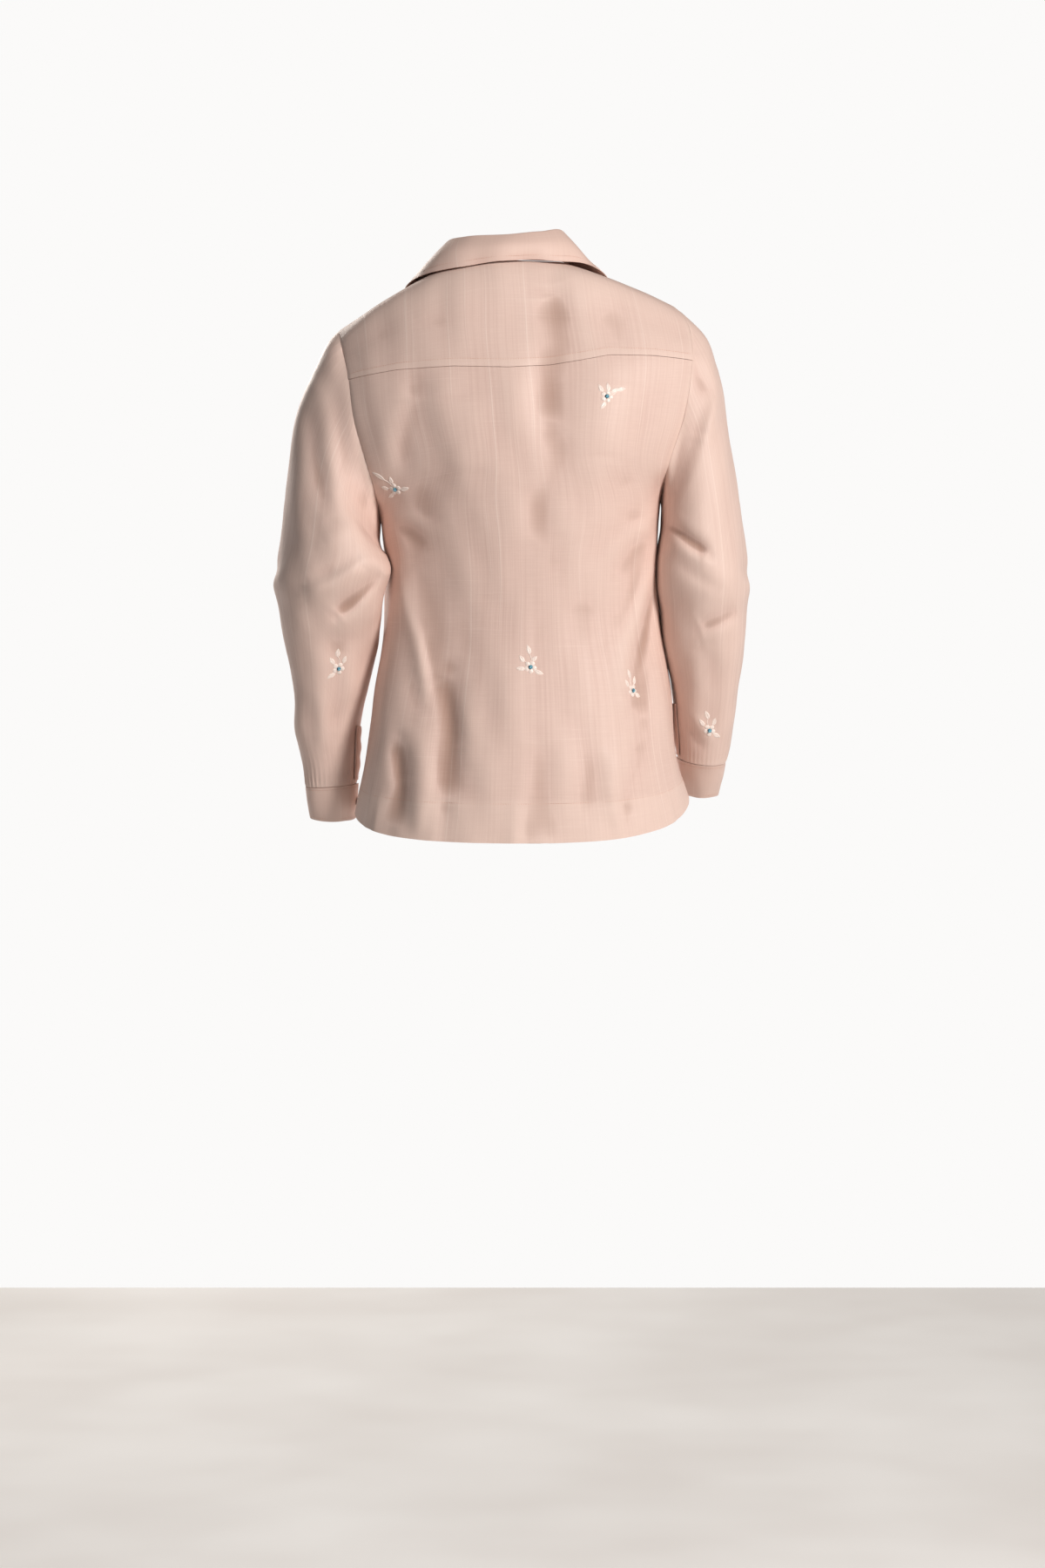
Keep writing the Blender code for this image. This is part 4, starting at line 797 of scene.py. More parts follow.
FRONT_YOKE = KNOTS[rib_number("front yoke")]
BREAK = KNOTS[rib_number("chest")] + BREAK_PLACE * (
    KNOTS[rib_number("chest") + 1] - KNOTS[rib_number("chest")]
)
NECK_CORNER = 0.5  # share of the columns of half a yoke that reach the neck
YOKE_COLUMNS = (0, 0.09, 0.18, 0.27, 0.35, 0.46, 0.58, 0.65, 0.72, 0.79, 0.86, 0.93, 1)


def yoke_line(u):
    """Places v of the back yoke seam."""
    height = np.interp(u, *np.array(YOKE_SEAM).T)
    return solve_height(u, height, KNOTS[rib_number("shoulder blades")], KNOTS[rib_number("back neck")])


def top_path(t):
    """u, v along the yoke's top border, from the right armhole at t = -1 over the neck to the left one."""
    neck = neck_path(121)
    s = np.abs(t)
    on_neck = np.clip(s / NECK_CORNER, 0, 1)
    at = np.linspace(0, 1, len(neck))
    u = np.interp(on_neck, at, neck[:, 0])
    v = np.interp(on_neck, at, neck[:, 1])
    past = np.clip((s - NECK_CORNER) / (1 - NECK_CORNER), 0, 1)
    u = u + (1 - neck[-1, 0]) * past
    v = np.where(past > 0, FRONT_YOKE, v)
    return np.sign(t) * u, v


def front_edge(side, v):
    """Where across the torso a front's edge is at places v: the roll line, then straight down."""
    corner = neck_path(7)[-1, 0]
    waist = TORSO[rib_number("front waist")]
    turn = math.radians(waist.turn)
    past = -math.asin(OVERLAP / (waist.left[0] - waist.middle[0]) * math.sin(turn)) / turn
    share = np.clip((np.asarray(v) - FRONT_YOKE) / (BREAK - FRONT_YOKE), 0, 1)
    return side * (corner + (past - corner) * share)


def away_from_neck(u, v):
    """Changes of u and of v that move one metre straight away from the neck seam, and that direction."""
    centre = torso(u, v)
    slopes = np.stack([torso(u + STEP, v) - centre, torso(u, v + STEP) - centre], axis=2) / STEP
    out = unit(np.cross(torso_normals(u, v), np.gradient(centre, axis=0)))
    moves = np.array([np.linalg.lstsq(slope, o, rcond=None)[0] for slope, o in zip(slopes, out)])
    return moves[:, 0], moves[:, 1], out


def cuff_rows(side):
    rings = LEFT_CUFF if side > 0 else RIGHT_CUFF
    sleeve_end = sleeve_rows(side)

    def rows(share):
        return np.concatenate([sleeve_end(share)[-1:], ring_points(rings, share)])

    return rows


CUFF_SLIT = 0.4246  # share of the way round the wrist where a cuff opens
CUFF_START = 0.9356  # share of a cuff's run where its end begins to rise over its start
CUFF_END = 1.0754  # and where it ends
CUFF_LIFT = WALL + LAYER + 0.0004


def cuff_lift(run):
    """How far out a cuff is at a share of its run, so that its end laps over its start."""
    return CUFF_LIFT * smooth((run - CUFF_START + 0.02) / (1.01 - CUFF_START))


# ---- cutting the pieces ----

HEM = 0.030  # the hem's depth
YOKE_ALLOWANCE = 0.009  # the doubled band above the yoke's seam
FACING = 0.030  # the doubled band down each front's edge
ARMHOLE_ALLOWANCE = 0.008
SLEEVE_ROUND = 0.44  # metres round a sleeve, and the height of its threads' coordinates
TORSO_HALF = 0.31  # metres across half the torso


def cells(length):
    return max(8, round(length / bpy.context.scene.shirt.cell))


def made(obj, material_name, node):
    """Finishes a piece: its material, the body it rides on and the solid it stands for."""
    obj.data.materials.append(MATERIALS[material_name]())
    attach(obj, "root")
    if node:
        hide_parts(node)
    return obj


def torso_piece(name, node, u, v, heights, layers, lift=None, doubled=False, first=True, last=True):
    """A piece of the torso over grids u and v, with heights added to its outer face."""
    outer, normals = torso(u, v), torso_normals(u, v)
    for j in (0, -1):
        if abs(abs(u[0, j]) - 1) < 1e-9 or abs(abs(u[-1, j]) - 1) < 1e-9:
            side, at = np.sign(u[-1, j]), v[:, j]
            low = (at < UNDER_BACK - 1e-9) | (at > UNDER_FRONT + 1e-9)
            if low.any():
                normals[low, j] = side_normals(side, at[low])
            if (~low).any():
                normals[~low, j] = armhole_normals(side, at[~low])
    outer = pulled(outer, first, last)
    if lift is not None:
        outer = outer + unit(normals) * lift[..., None]
    past = (1 - np.abs(u)) * TORSO_HALF
    armhole = smooth((v - UNDER_BACK - 0.01) / 0.02) * smooth((UNDER_FRONT - 0.01 - v) / 0.02)
    heights = heights + armhole * pucker(v, past, 0.0075, 0.00045, 0.012)
    face = outer + unit(normals) * heights[..., None]
    thick = CLOTH * (1 + 0.7 * layers)
    places = np.stack([u * TORSO_HALF, v], axis=-1)
    obj = wall(name, face, outer - normals * thick[..., None], places, layers=layers)
    kind, slot = ("doubled", "doubled_organza") if doubled else ("organza", "organza")
    return made(obj, kind, node)


def armhole_band(u):
    """The doubled allowance beside the armholes and side seams."""
    return smooth(1.5 - (1 - np.abs(u)) * TORSO_HALF / ARMHOLE_ALLOWANCE) * 0.8


def cut_back():
    """From the hem, which is turned up, to the yoke seam."""
    columns = np.linspace(-1, 1, cells(0.50))
    top = yoke_line(columns)
    share = np.linspace(0, 1, cells(0.56))[:, None]
    v = share * top
    u = np.broadcast_to(columns, v.shape)
    hem = smooth((HEM - v) / 0.0012 + 0.5)
    ripple = 0.0005 * np.sin(u * 41 + np.sin(u * 17) * 2) * smooth(1 - v / 0.05)
    layers = np.maximum(hem, armhole_band(u))
    return torso_piece("back_panel", "back", u, v, 0.00025 * hem + ripple, layers, first=False)


def cut_yoke():
    """From the back yoke seam over the shoulders to the front yoke seams, with the neck cut out."""
    t = np.linspace(-1, 1, cells(0.50))
    start_u = np.sign(t) * np.interp(np.abs(t), np.linspace(0, 1, len(YOKE_COLUMNS)), YOKE_COLUMNS)
    start_v = yoke_line(start_u)
    end_u, end_v = top_path(t)
    share = np.linspace(0, 1, cells(0.23))[:, None]
    u, v = start_u + share * (end_u - start_u), start_v + share * (end_v - start_v)
    band = smooth((YOKE_ALLOWANCE - (v - start_v)) / 0.001 + 0.5)
    layers = np.maximum(0.25 + 0.75 * band, armhole_band(u))
    return torso_piece("shoulder_yoke", "yoke", u, v, 0.0003 * band, layers)


def front_v():
    return np.linspace(FRONT_YOKE, HEM_FRONT, cells(0.60))


def cut_front(name, node, side):
    """One front panel. The wearer's right one lies under the left one where they lap."""
    rows = front_v()
    edge = front_edge(side, rows)
    lapped = smooth((rows - FRONT_YOKE) / (0.6 * (BREAK - FRONT_YOKE)))[:, None]
    share = np.linspace(0, 1, cells(0.28))
    u = edge[:, None] + (side - edge)[:, None] * share
    v = np.repeat(rows[:, None], u.shape[1], axis=1)
    lift = None
    if side < 0:
        lift = -(CLOTH + 0.0018) * lapped * smooth((0.24 - share) / 0.08)
    past = np.abs(u - edge[:, None]) * TORSO_HALF
    facing = smooth((FACING - past) / 0.0012 + 0.5) * lapped
    hem = smooth((HEM - (HEM_FRONT - v)) / 0.0012 + 0.5)
    layers = np.maximum(np.maximum(hem, facing), armhole_band(u))
    heights = 0.00025 * np.maximum(hem, facing)
    return torso_piece(name, node, u, v, heights, layers, lift=lift, last=False)


LAPEL_WIDE = 0.052  # at its top, before its tip's width
LAPEL_TIP = 0.0045  # how wide it still is where the roll line ends
LAPEL_GAP = 0.004  # share of the way across that keeps it off the centre line


def lapel_points(side, rows, across):
    """Points and outward directions of the front that a lapel lies on, over rows down it and across it."""
    v = FRONT_YOKE + 0.004 + rows * (BREAK - 0.016 - FRONT_YOKE)
    edge = front_edge(side, v)
    edge = np.where(edge * side < LAPEL_GAP, side * LAPEL_GAP, edge)
    width = LAPEL_WIDE * (1 - rows) ** 0.75 * (1 + 0.5 * rows) + LAPEL_TIP
    here, step = torso(edge, v), torso(edge + side * 0.01, v)
    per_metre = 0.01 / np.linalg.norm(step - here, axis=-1)
    u = edge + side * width * per_metre * across
    v = v + 0.010 * across * (1 - rows)
    return torso(u, v), torso_normals(u, v)


def cut_lapel(name, node, side):
    """The turned-out top of a front: it rolls over at its inner edge and lies on the front."""
    rows, across = np.meshgrid(np.linspace(0, 1, cells(0.16)), np.linspace(0, 1, cells(0.07)), indexing="ij")
    points, normals = lapel_points(side, rows, across)
    clear = LAYER + 0.0012 + 0.0024 * np.sin(np.pi * np.clip(across * 1.6, 0, 1))
    inner = points + normals * clear[..., None]
    thick = WALL * (0.55 + 0.45 * smooth((1 - across) / 0.12))
    outer = inner + normals * thick[..., None]
    places = np.stack([across * 0.06, rows * 0.13], axis=-1)
    obj = wall(name, outer, inner, places, layers=1.0)
    return made(obj, "doubled", node)


def collar_grid():
    """Points of the collar's outer face, from the neck seam up to the roll and down to its edge."""
    half = neck_path(cells(0.27))
    path = np.concatenate([half[:0:-1] * (-1, 1), half])
    shares = np.linspace(-1, 1, len(path))
    knots = np.array([t.share for t in COLLAR])
    rows = np.repeat(np.array([(*t.roll, t.reach, t.clear) for t in COLLAR])[:, None], len(shares), axis=1)
    turned = spline(rows, knots, shares)
    roll, reach, clear = turned[:, :3], turned[:, 3], turned[:, 4:] + WALL + LAYER
    u, v = path.T
    seam, normal = torso(u, v), torso_normals(u, v)
    out_u, out_v, away = away_from_neck(u, v)
    edge_u, edge_v = u + out_u * reach, v + out_v * reach
    edge = torso(edge_u, edge_v) + torso_normals(edge_u, edge_v) * clear
    half_u, half_v = u + out_u * reach / 2, v + out_v * reach / 2
    bed = torso(half_u, half_v) + torso_normals(half_u, half_v) * (clear + 0.003)
    base = seam - away * SEAM + normal * 0.0002
    along = unit(np.gradient(roll, axis=0))
    up = unit(roll - base - along * np.einsum("ij,ij->i", roll - base, along)[:, None])
    lean = unit(np.cross(up, along) * np.sign(np.einsum("ij,ij->i", np.cross(up, along), away))[:, None])
    inside = roll - lean * 0.0035 - up * 0.003
    outside = roll + lean * 0.0045 - up * 0.0045
    # The fall hangs clear behind the neck, and lies on the chest in front.
    hanging = (outside + edge) / 2 + lean * 0.004 + normal * 0.002
    lying = np.clip((np.abs(shares) - 0.45) / 0.45, 0, 1)[:, None] * 0.75
    fall = hanging * (1 - lying) + bed * lying
    points = np.array([base, (base + inside) / 2, inside, roll, outside, fall, edge])
    places = np.linspace(0, len(points) - 1, cells(0.13))
    grid = np.array([spline(points, np.arange(7.0), np.full(len(u), t)) for t in places])
    return grid, unit(np.cross(np.gradient(grid, axis=1), np.gradient(grid, axis=0))), shares


def cut_collar():
    """One strip round the neck, doubled: it stands up from the neck seam, rolls and falls over the yoke."""
    grid, normals, shares = collar_grid()
    rows = np.linspace(0, 1, len(grid))[:, None]
    ends = np.minimum(1 - np.abs(shares), 0.06)[None] / 0.06
    thick = WALL * (0.5 + 0.5 * smooth((1 - rows) / 0.05)) * (0.55 + 0.45 * smooth(ends))
    wave = 0.0004 * np.sin(shares * 21 + 1)[None] * smooth((rows - 0.6) / 0.3)
    outer = grid + normals * wave[..., None]
    inner = outer - normals * thick[..., None]
    places = np.stack(np.broadcast_arrays(shares[None] * 0.25, rows * 0.12), axis=-1)
    obj = wall("camp_collar", outer, inner, places, layers=1.0)
    return made(obj, "doubled", "collar")


def cut_sleeve(name, node, side):
    """A tube from the armhole, where its cap is eased in, to the cuff seam, where it is gathered."""
    shares = np.linspace(0, 1, cells(0.44), endpoint=False)
    places = armhole_places(shares)
    rows = sleeve_rows(side)
    v = np.linspace(0, 1, cells(0.52))
    s, v = np.meshgrid(shares, v)
    outer = tube(rows, s, v)
    normals = tube_normals(rows, s, v, side)
    normals[0] = armhole_normals(side, places, of_sleeve=True)
    cuff_top = tube_normals(cuff_rows(side), shares, 0 * shares, side)
    normals[-1] = shared(normals[-1], cuff_top)
    outer = pulled(outer, sides=False)
    steps = np.linalg.norm(np.diff(outer, axis=0), axis=2)
    run = np.concatenate([0 * outer[:1, :, 0], np.cumsum(steps, axis=0)])
    around = s * SLEEVE_ROUND
    over_cap = smooth(1 - np.minimum(s, 1 - s) / 0.24)
    heights = pucker(around, run, 0.0078, 0.0003 + 0.0004 * over_cap, 0.010 + 0.022 * over_cap)
    left = run[-1] - run
    heights += pucker(around * 0.52, left, 0.0062, 0.0008, 0.026)
    outer_face = outer + unit(normals) * heights[..., None]
    band = smooth(1.5 - np.minimum(run, left) / ARMHOLE_ALLOWANCE)
    spots = np.concatenate([around, around[:, :1] + SLEEVE_ROUND], axis=1)
    depth = np.concatenate([run, run[:, :1]], axis=1)
    inner = outer_face - normals * CLOTH
    obj = wall(name, outer_face, inner, np.stack([spots, depth], axis=-1), closed=True, layers=band * 0.9)
    return made(obj, "organza", node)


def cuff_grid(side, run, v):
    """Points and outward directions of a cuff's outer face."""
    rows = cuff_rows(side)
    outer = tube(rows, CUFF_SLIT + run, v)
    normals = tube_normals(rows, CUFF_SLIT + run, v, side)
    return outer + normals * cuff_lift(run)[..., None], normals


CUFF_ROUND, CUFF_DEEP = 0.21, 0.07  # metres that its cloth runs round the wrist and down


def cut_cuff(name, node, side):
    """A doubled band round the wrist, with its end lapped over its start."""
    run, v = np.meshgrid(np.linspace(0, CUFF_END, cells(0.24)), np.linspace(0, 1, cells(0.07)))
    outer, normals = cuff_grid(side, run, v)
    sleeve_end = tube_normals(sleeve_rows(side), CUFF_SLIT + run[0], 0 * run[0] + 1, side)
    normals[0] = shared(normals[0], sleeve_end)
    outer = pulled(outer, last=False, sides=False)
    outer[0] += unit(outer[1] - outer[0]) * SEAM
    wave = 0.0006 * np.sin(run * 23 + 1) * smooth((v - 0.5) / 0.5)
    around, down = run * CUFF_ROUND, v * CUFF_DEEP
    wave += pucker(around, down, 0.0075, 0.0004, 0.014)
    outer = outer + unit(normals) * wave[..., None]
    thick = WALL * (0.55 + 0.45 * smooth((1 - v) / 0.06))
    places = np.stack([around, down], axis=-1)
    obj = wall(name, outer, outer - normals * thick[..., None], places, layers=1.0)
    return made(obj, "doubled", node)


PLACKET_TOP = 0.845  # where it starts: share of the way down the sleeve
PLACKET_LONG = 0.145  # and of its length
PLACKET_WIDE = 0.055  # share of the way round


def cut_placket(name, node, side):
    """The strip that binds the slit above a cuff. It twists a little as the slit gapes."""
    end = PLACKET_TOP + PLACKET_LONG
    v, across = np.meshgrid(
        np.linspace(PLACKET_TOP, end, cells(0.08)), np.linspace(0, PLACKET_WIDE, 9), indexing="ij"
    )
    rows = sleeve_rows(side)
    points = tube(rows, CUFF_SLIT + across, v)
    normals = tube_normals(rows, CUFF_SLIT + across, v, side)
    down, over = (v - PLACKET_TOP) / PLACKET_LONG, across / PLACKET_WIDE
    clear = LAYER + 0.0008 + 0.0022 * np.sin(np.pi * down) * over + 0.0006 * np.sin(down * 19) * over
    inner = points + normals * clear[..., None]
    thick = WALL * (0.6 + 0.4 * np.sin(np.pi * np.clip(over, 0, 1)))
    places = np.stack([across * SLEEVE_ROUND, down * 0.075], axis=-1)
    obj = wall(name, inner + normals * thick[..., None], inner, places, layers=1.0)
    return made(obj, "doubled", node)


# ---- embroidery ----


class Spot:
    """A place on a surface, with metres laid out about it: seen from outside, a to the right and b up."""

    def __init__(self, surface, normals, u, v):
        self.surface, self.normals, self.u, self.v = surface, normals, u, v
        ends = [(u + STEP, v), (u - STEP, v), (u, v + STEP), (u, v - STEP)]
        pu, nu, pv, nv = (np.asarray(surface(*e)).reshape(3) for e in ends)
        slopes = np.stack([(pu - nu) / (2 * STEP), (pv - nv) / (2 * STEP)], axis=1)
        normal = np.asarray(normals(u, v)).reshape(3)
        up = unit(np.array([0, 0, 1.0]) - normal * normal[2])
        self.right = np.linalg.lstsq(slopes, np.cross(up, normal), rcond=None)[0]
        self.up = np.linalg.lstsq(slopes, up, rcond=None)[0]

    def points(self, a, b, height):
        u = self.u + a * self.right[0] + b * self.up[0]
        v = self.v + a * self.right[1] + b * self.up[1]
        return self.surface(u, v) + self.normals(u, v) * np.asarray(height)[..., None]


def nearest(surface, u_range, v_range, x, z):
    """Where on part of a surface the point above x, z lies."""
    (u0, u1), (v0, v1) = u_range, v_range
    for _ in range(3):
        u, v = np.meshgrid(np.linspace(u0, u1, 41), np.linspace(v0, v1, 41), indexing="ij")
        p = surface(u, v)
        i, j = np.unravel_index(np.argmin((p[..., 0] - x) ** 2 + (p[..., 2] - z) ** 2), u.shape)
        du, dv = (u1 - u0) / 20, (v1 - v0) / 20
        u0, u1, v0, v1 = u[i, j] - du, u[i, j] + du, v[i, j] - dv, v[i, j] + dv
    return float(u[i, j]), float(v[i, j])


class Leaf(NamedTuple):
    """A leaf of a sprig on its own short stem."""

    angle: float  # degrees, from straight up towards the right
    reach: float  # from the flower's middle to the leaf's base
    length: float
    bend: float  # how far its tip is turned to the side, as a share of its length


SPRIG_LEAVES = (  # three arrangements of the same flower
    (Leaf(-36, 0.0068, 0.0112, 0.16), Leaf(13, 0.0066, 0.0106, -0.20), Leaf(50, 0.0064, 0.0120, 0.20),
     Leaf(62, 0.0150, 0.0125, 0.26), Leaf(-158, 0.0066, 0.0115, 0.18)),
    (Leaf(-14, 0.0150, 0.0125, -0.18), Leaf(-58, 0.0095, 0.0100, 0.16), Leaf(-112, 0.0062, 0.0115, 0.22),
     Leaf(116, 0.0062, 0.0120, -0.22), Leaf(12, 0.0072, 0.0082, 0.30)),
    (Leaf(-6, 0.0150, 0.0120, 0.14), Leaf(32, 0.0082, 0.0108, -0.20), Leaf(-42, 0.0074, 0.0104, 0.20),
     Leaf(-142, 0.0066, 0.0115, 0.18)),
)
STITCH_PITCH = 0.0013  # real satin stitches lie 0.3 mm apart, and are drawn coarser so that they show


def satin(length, width, bend, fuller, base, angle, tall, point, halves):
    """Grids a, b, height of a petal or leaf in satin stitch, from base out from the middle, at an angle."""
    s, t = np.meshgrid(np.linspace(0, 1, 25), np.linspace(-1, 1, 11), indexing="ij")
    wide = width / 2 * np.clip(np.sin(np.pi * s**fuller), 0, 1) ** point
    across, along = wide * t + bend * length * s * s, length * s + base
    dome = np.sqrt(np.clip(1 - t * t, 0, 1)) * np.sin(np.pi * np.clip(s, 0.02, 0.98)) ** 0.35
    if halves:
        dome = dome * (0.45 + 0.55 * smooth(np.abs(t) / 0.35))
    slant = np.abs(t) * width * 0.5
    ridge = np.cos(2 * np.pi * (along - slant) / STITCH_PITCH)
    height = -0.0001 + tall * dome * (1 + 0.13 * ridge)
    turn = math.radians(angle)
    a = across * math.cos(turn) + along * math.sin(turn)
    b = along * math.cos(turn) - across * math.sin(turn)
    return a, b, height


def grid_faces(rows, columns, start=0):
    i, j = np.meshgrid(np.arange(rows - 1), np.arange(columns - 1), indexing="ij")
    a = (start + i * columns + j).ravel()
    return np.stack([a, a + columns, a + columns + 1, a + 1], axis=1)


PETAL = 0.0060  # length and width of a petal


def sprig_grids(leaves, size, turn, mirror):
    """The grids of one flower: five rounded petals, its leaves and their stems."""
    grids = []
    petal = PETAL * size
    for i in range(5):
        angle = 72 * i + 20 + turn
        grids.append(satin(petal, petal, 0.02, 1.1, 0.0017 * size, angle, 0.0011, 0.45, False))
    for leaf in leaves:
        angle, base = leaf.angle + turn, leaf.reach * size
        length = leaf.length * size
        grids.append(satin(length, 0.0058 * size, leaf.bend, 0.82, base, angle, 0.0009, 0.9, True))
        s, t = np.meshgrid(np.linspace(0, 1, 11), np.linspace(-1, 1, 5), indexing="ij")
        along = 0.004 * size + s * (base - 0.0030 * size)
        across = 0.0005 * t + base * 0.10 * np.sin(np.pi * s)
        way = math.radians(angle)
        a = across * math.cos(way) + along * math.sin(way)
        b = along * math.cos(way) - across * math.sin(way)
        grids.append((a, b, -0.0001 + 0.0007 * np.sqrt(np.clip(1 - t * t, 0, 1))))
    return [(a * mirror, b, h) for a, b, h in grids]


def crystal_rings(radius):
    """Rings of a cut stone, from its girdle up to its flat top: radius, height and turn in degrees."""
    girdle, crown, table = radius, radius * 0.80, radius * 0.52
    return ((girdle, 0.0006, 0), (girdle, 0.0010, 0), (crown, 0.0019, 22.5), (table, 0.0025, 0))


def torso_spot(facing, x, z):
    v_range = (0.02, 0.60) if facing is BACK else (0.76, HEM_FRONT - 0.02)
    return Spot(torso, torso_normals, *nearest(torso, (-0.98, 0.98), v_range, x, z))


def sleeve_spot(side, facing, x, z):
    rows = sleeve_rows(side)

    def surface(share, v):
        return tube(rows, share, v)

    def normals(share, v):
        return tube_normals(rows, share, v, side)

    share_range = (0.02, 0.48) if facing is BACK else (0.52, 0.98)
    return Spot(surface, normals, *nearest(surface, share_range, (0.03, 0.93), x, z))


SPRIGS = (  # side of a sleeve or 0 for the torso, facing, x, z, arrangement, turn, mirror
    (0, BACK, -0.1235, -0.1545, 0, 0, 1),
    (0, BACK, 0.1290, -0.2630, 1, -25, 1),
    (0, BACK, -0.0330, -0.4750, 1, 10, 1),
    (0, BACK, -0.1555, -0.5037, 2, 20, -1),
    (1, BACK, 0.1990, -0.4780, 2, 0, 1),
    (-1, BACK, -0.2515, -0.5540, 2, 15, -1),
    (0, FRONT, 0.1280, -0.0720, 0, 200, -1),
    (0, FRONT, 0.1090, -0.3890, 1, 0, 1),
    (0, FRONT, 0.1020, -0.1850, 0, 30, 1),
    (0, FRONT, -0.1300, -0.2420, 2, -20, 1),
    (0, FRONT, -0.0900, -0.4460, 0, 15, -1),
    (0, FRONT, 0.0700, -0.5650, 2, 60, 1),
    (0, FRONT, -0.1450, -0.5900, 1, -40, 1),
    (1, FRONT, 0.2200, -0.2600, 1, 30, 1),
    (1, FRONT, 0.2150, -0.5000, 0, -30, 1),
    (-1, FRONT, -0.2450, -0.2300, 0, 0, -1),
    (-1, FRONT, -0.2450, -0.4700, 2, 40, 1),
)

SPRIG_WIDTH = 0.037  # the width for which the sprigs' sizes are given
STONE_SIDES = 8
STONE_LIFT = 0.0007  # how far a stone's rings stand off the cloth
# A stone's facets are painted bright and dark, as painted reflections.
TABLE_REFLECTION = 0.75  # how bright a stone's flat top is, from 0 to 1


def embroider():
    """Sews every sprig on the cloth, with a cut stone in its middle."""
    size = bpy.context.scene.shirt.sprig_size / SPRIG_WIDTH
    radius = bpy.context.scene.shirt.stone_width / 2
    thread, thread_faces, stones, stone_faces, facet_reflections = [], [], [], [], []
    count = stone_count = 0
    for side, facing, x, z, kind, turn, mirror in SPRIGS:
        spot = sleeve_spot(side, facing, x, z) if side else torso_spot(facing, x, z)
        grids = sprig_grids(SPRIG_LEAVES[kind], size, turn, mirror)
        for a, _b, _height in grids:
            thread_faces.append(grid_faces(*a.shape, start=count))
            count += a.size
        thread.append(spot.points(*(np.concatenate([grid[k].ravel() for grid in grids]) for k in range(3))))
        rings = crystal_rings(radius)
        turns = np.arange(STONE_SIDES) * 360.0 / STONE_SIDES
        for r, h, twist in rings:
            way = np.radians(turns + twist)
            height = np.full(STONE_SIDES, h + STONE_LIFT)
            stones.append(spot.points(r * np.cos(way), r * np.sin(way), height))
        stones.append(spot.points(np.zeros(1), np.zeros(1), np.full(1, rings[-1][1] + STONE_LIFT)))
        for ring in range(len(rings) - 1):
            first = stone_count + ring * STONE_SIDES
            for i in range(STONE_SIDES):
                a, b = first + i, first + (i + 1) % STONE_SIDES
                stone_faces += [(a, b, b + STONE_SIDES), (a, b + STONE_SIDES, a + STONE_SIDES)]
                # Each facet's tone is a painted reflection: some facets bright, some dark.
                facet_reflections += [(i * 3 + ring) % 5 / 4, (i * 2 + ring + 2) % 5 / 4]
        top = stone_count + STONE_SIDES * (len(rings) - 1)
        middle = top + STONE_SIDES
        for i in range(STONE_SIDES):
            stone_faces.append((top + i, top + (i + 1) % STONE_SIDES, middle))
            facet_reflections.append(TABLE_REFLECTION)
        stone_count = middle + 1
    sewn = mesh_object("sprig_embroidery", np.concatenate(thread), np.concatenate(thread_faces))
    made(sewn, "thread", None)
    cut = mesh_object("cut_stones", np.concatenate(stones), np.array(stone_faces))
    cut.data.shade_flat()
    cut.data.attributes.new("tone", "FLOAT", "FACE").data.foreach_set("value", np.array(facet_reflections, np.float32))
    made(cut, "stone", None)


# ---- sewing ----


def stitches_along(points, normals, lift):
    """Little stitches along a line on the cloth: their points and faces."""
    scene = bpy.context.scene.shirt
    pitch, length = scene.stitch_pitch, scene.stitch_pitch * 0.74
    run = np.concatenate([[0], np.cumsum(np.linalg.norm(np.diff(points, axis=0), axis=1))])
    count = max(2, int(run[-1] / pitch))
    middle = (np.arange(count) + 0.5) * run[-1] / count

    def at(where, of):
        return np.stack([np.interp(where, run, of[:, k]) for k in range(3)], axis=1)

    start, end = at(middle - length / 2, points), at(middle + length / 2, points)
    out = unit(at(middle, normals))
    side = unit(np.cross(out, end - start))
    half = scene.stitch_width / 2
    centre = (start + end) / 2 + out * lift
    start, end = start + out * (lift - half * 0.9), end + out * (lift - half * 0.9)
    side, out = side * half, out * half
    corners = [start, end, centre + side, centre - side, centre + out, centre - out]
    corners = np.stack(corners, axis=1).reshape(-1, 3)
    shape = np.array([(0, 2, 4), (2, 1, 4), (1, 3, 4), (3, 0, 4), (2, 0, 5), (1, 2, 5), (3, 1, 5), (0, 3, 5)])
    return corners, (np.arange(count)[:, None, None] * 6 + shape).reshape(-1, 3)


STITCH_LIFT = 0.0003  # how far stitches stand off the cloth
UNDERSIDE = -CLOTH - 0.0012  # where the right front's stitches lie, under the left front
PLACKET_LIFT = 0.0030  # how far a placket's stitches stand off the sleeve
SIDE = 0.985  # share of the way across at which the seams across the torso end


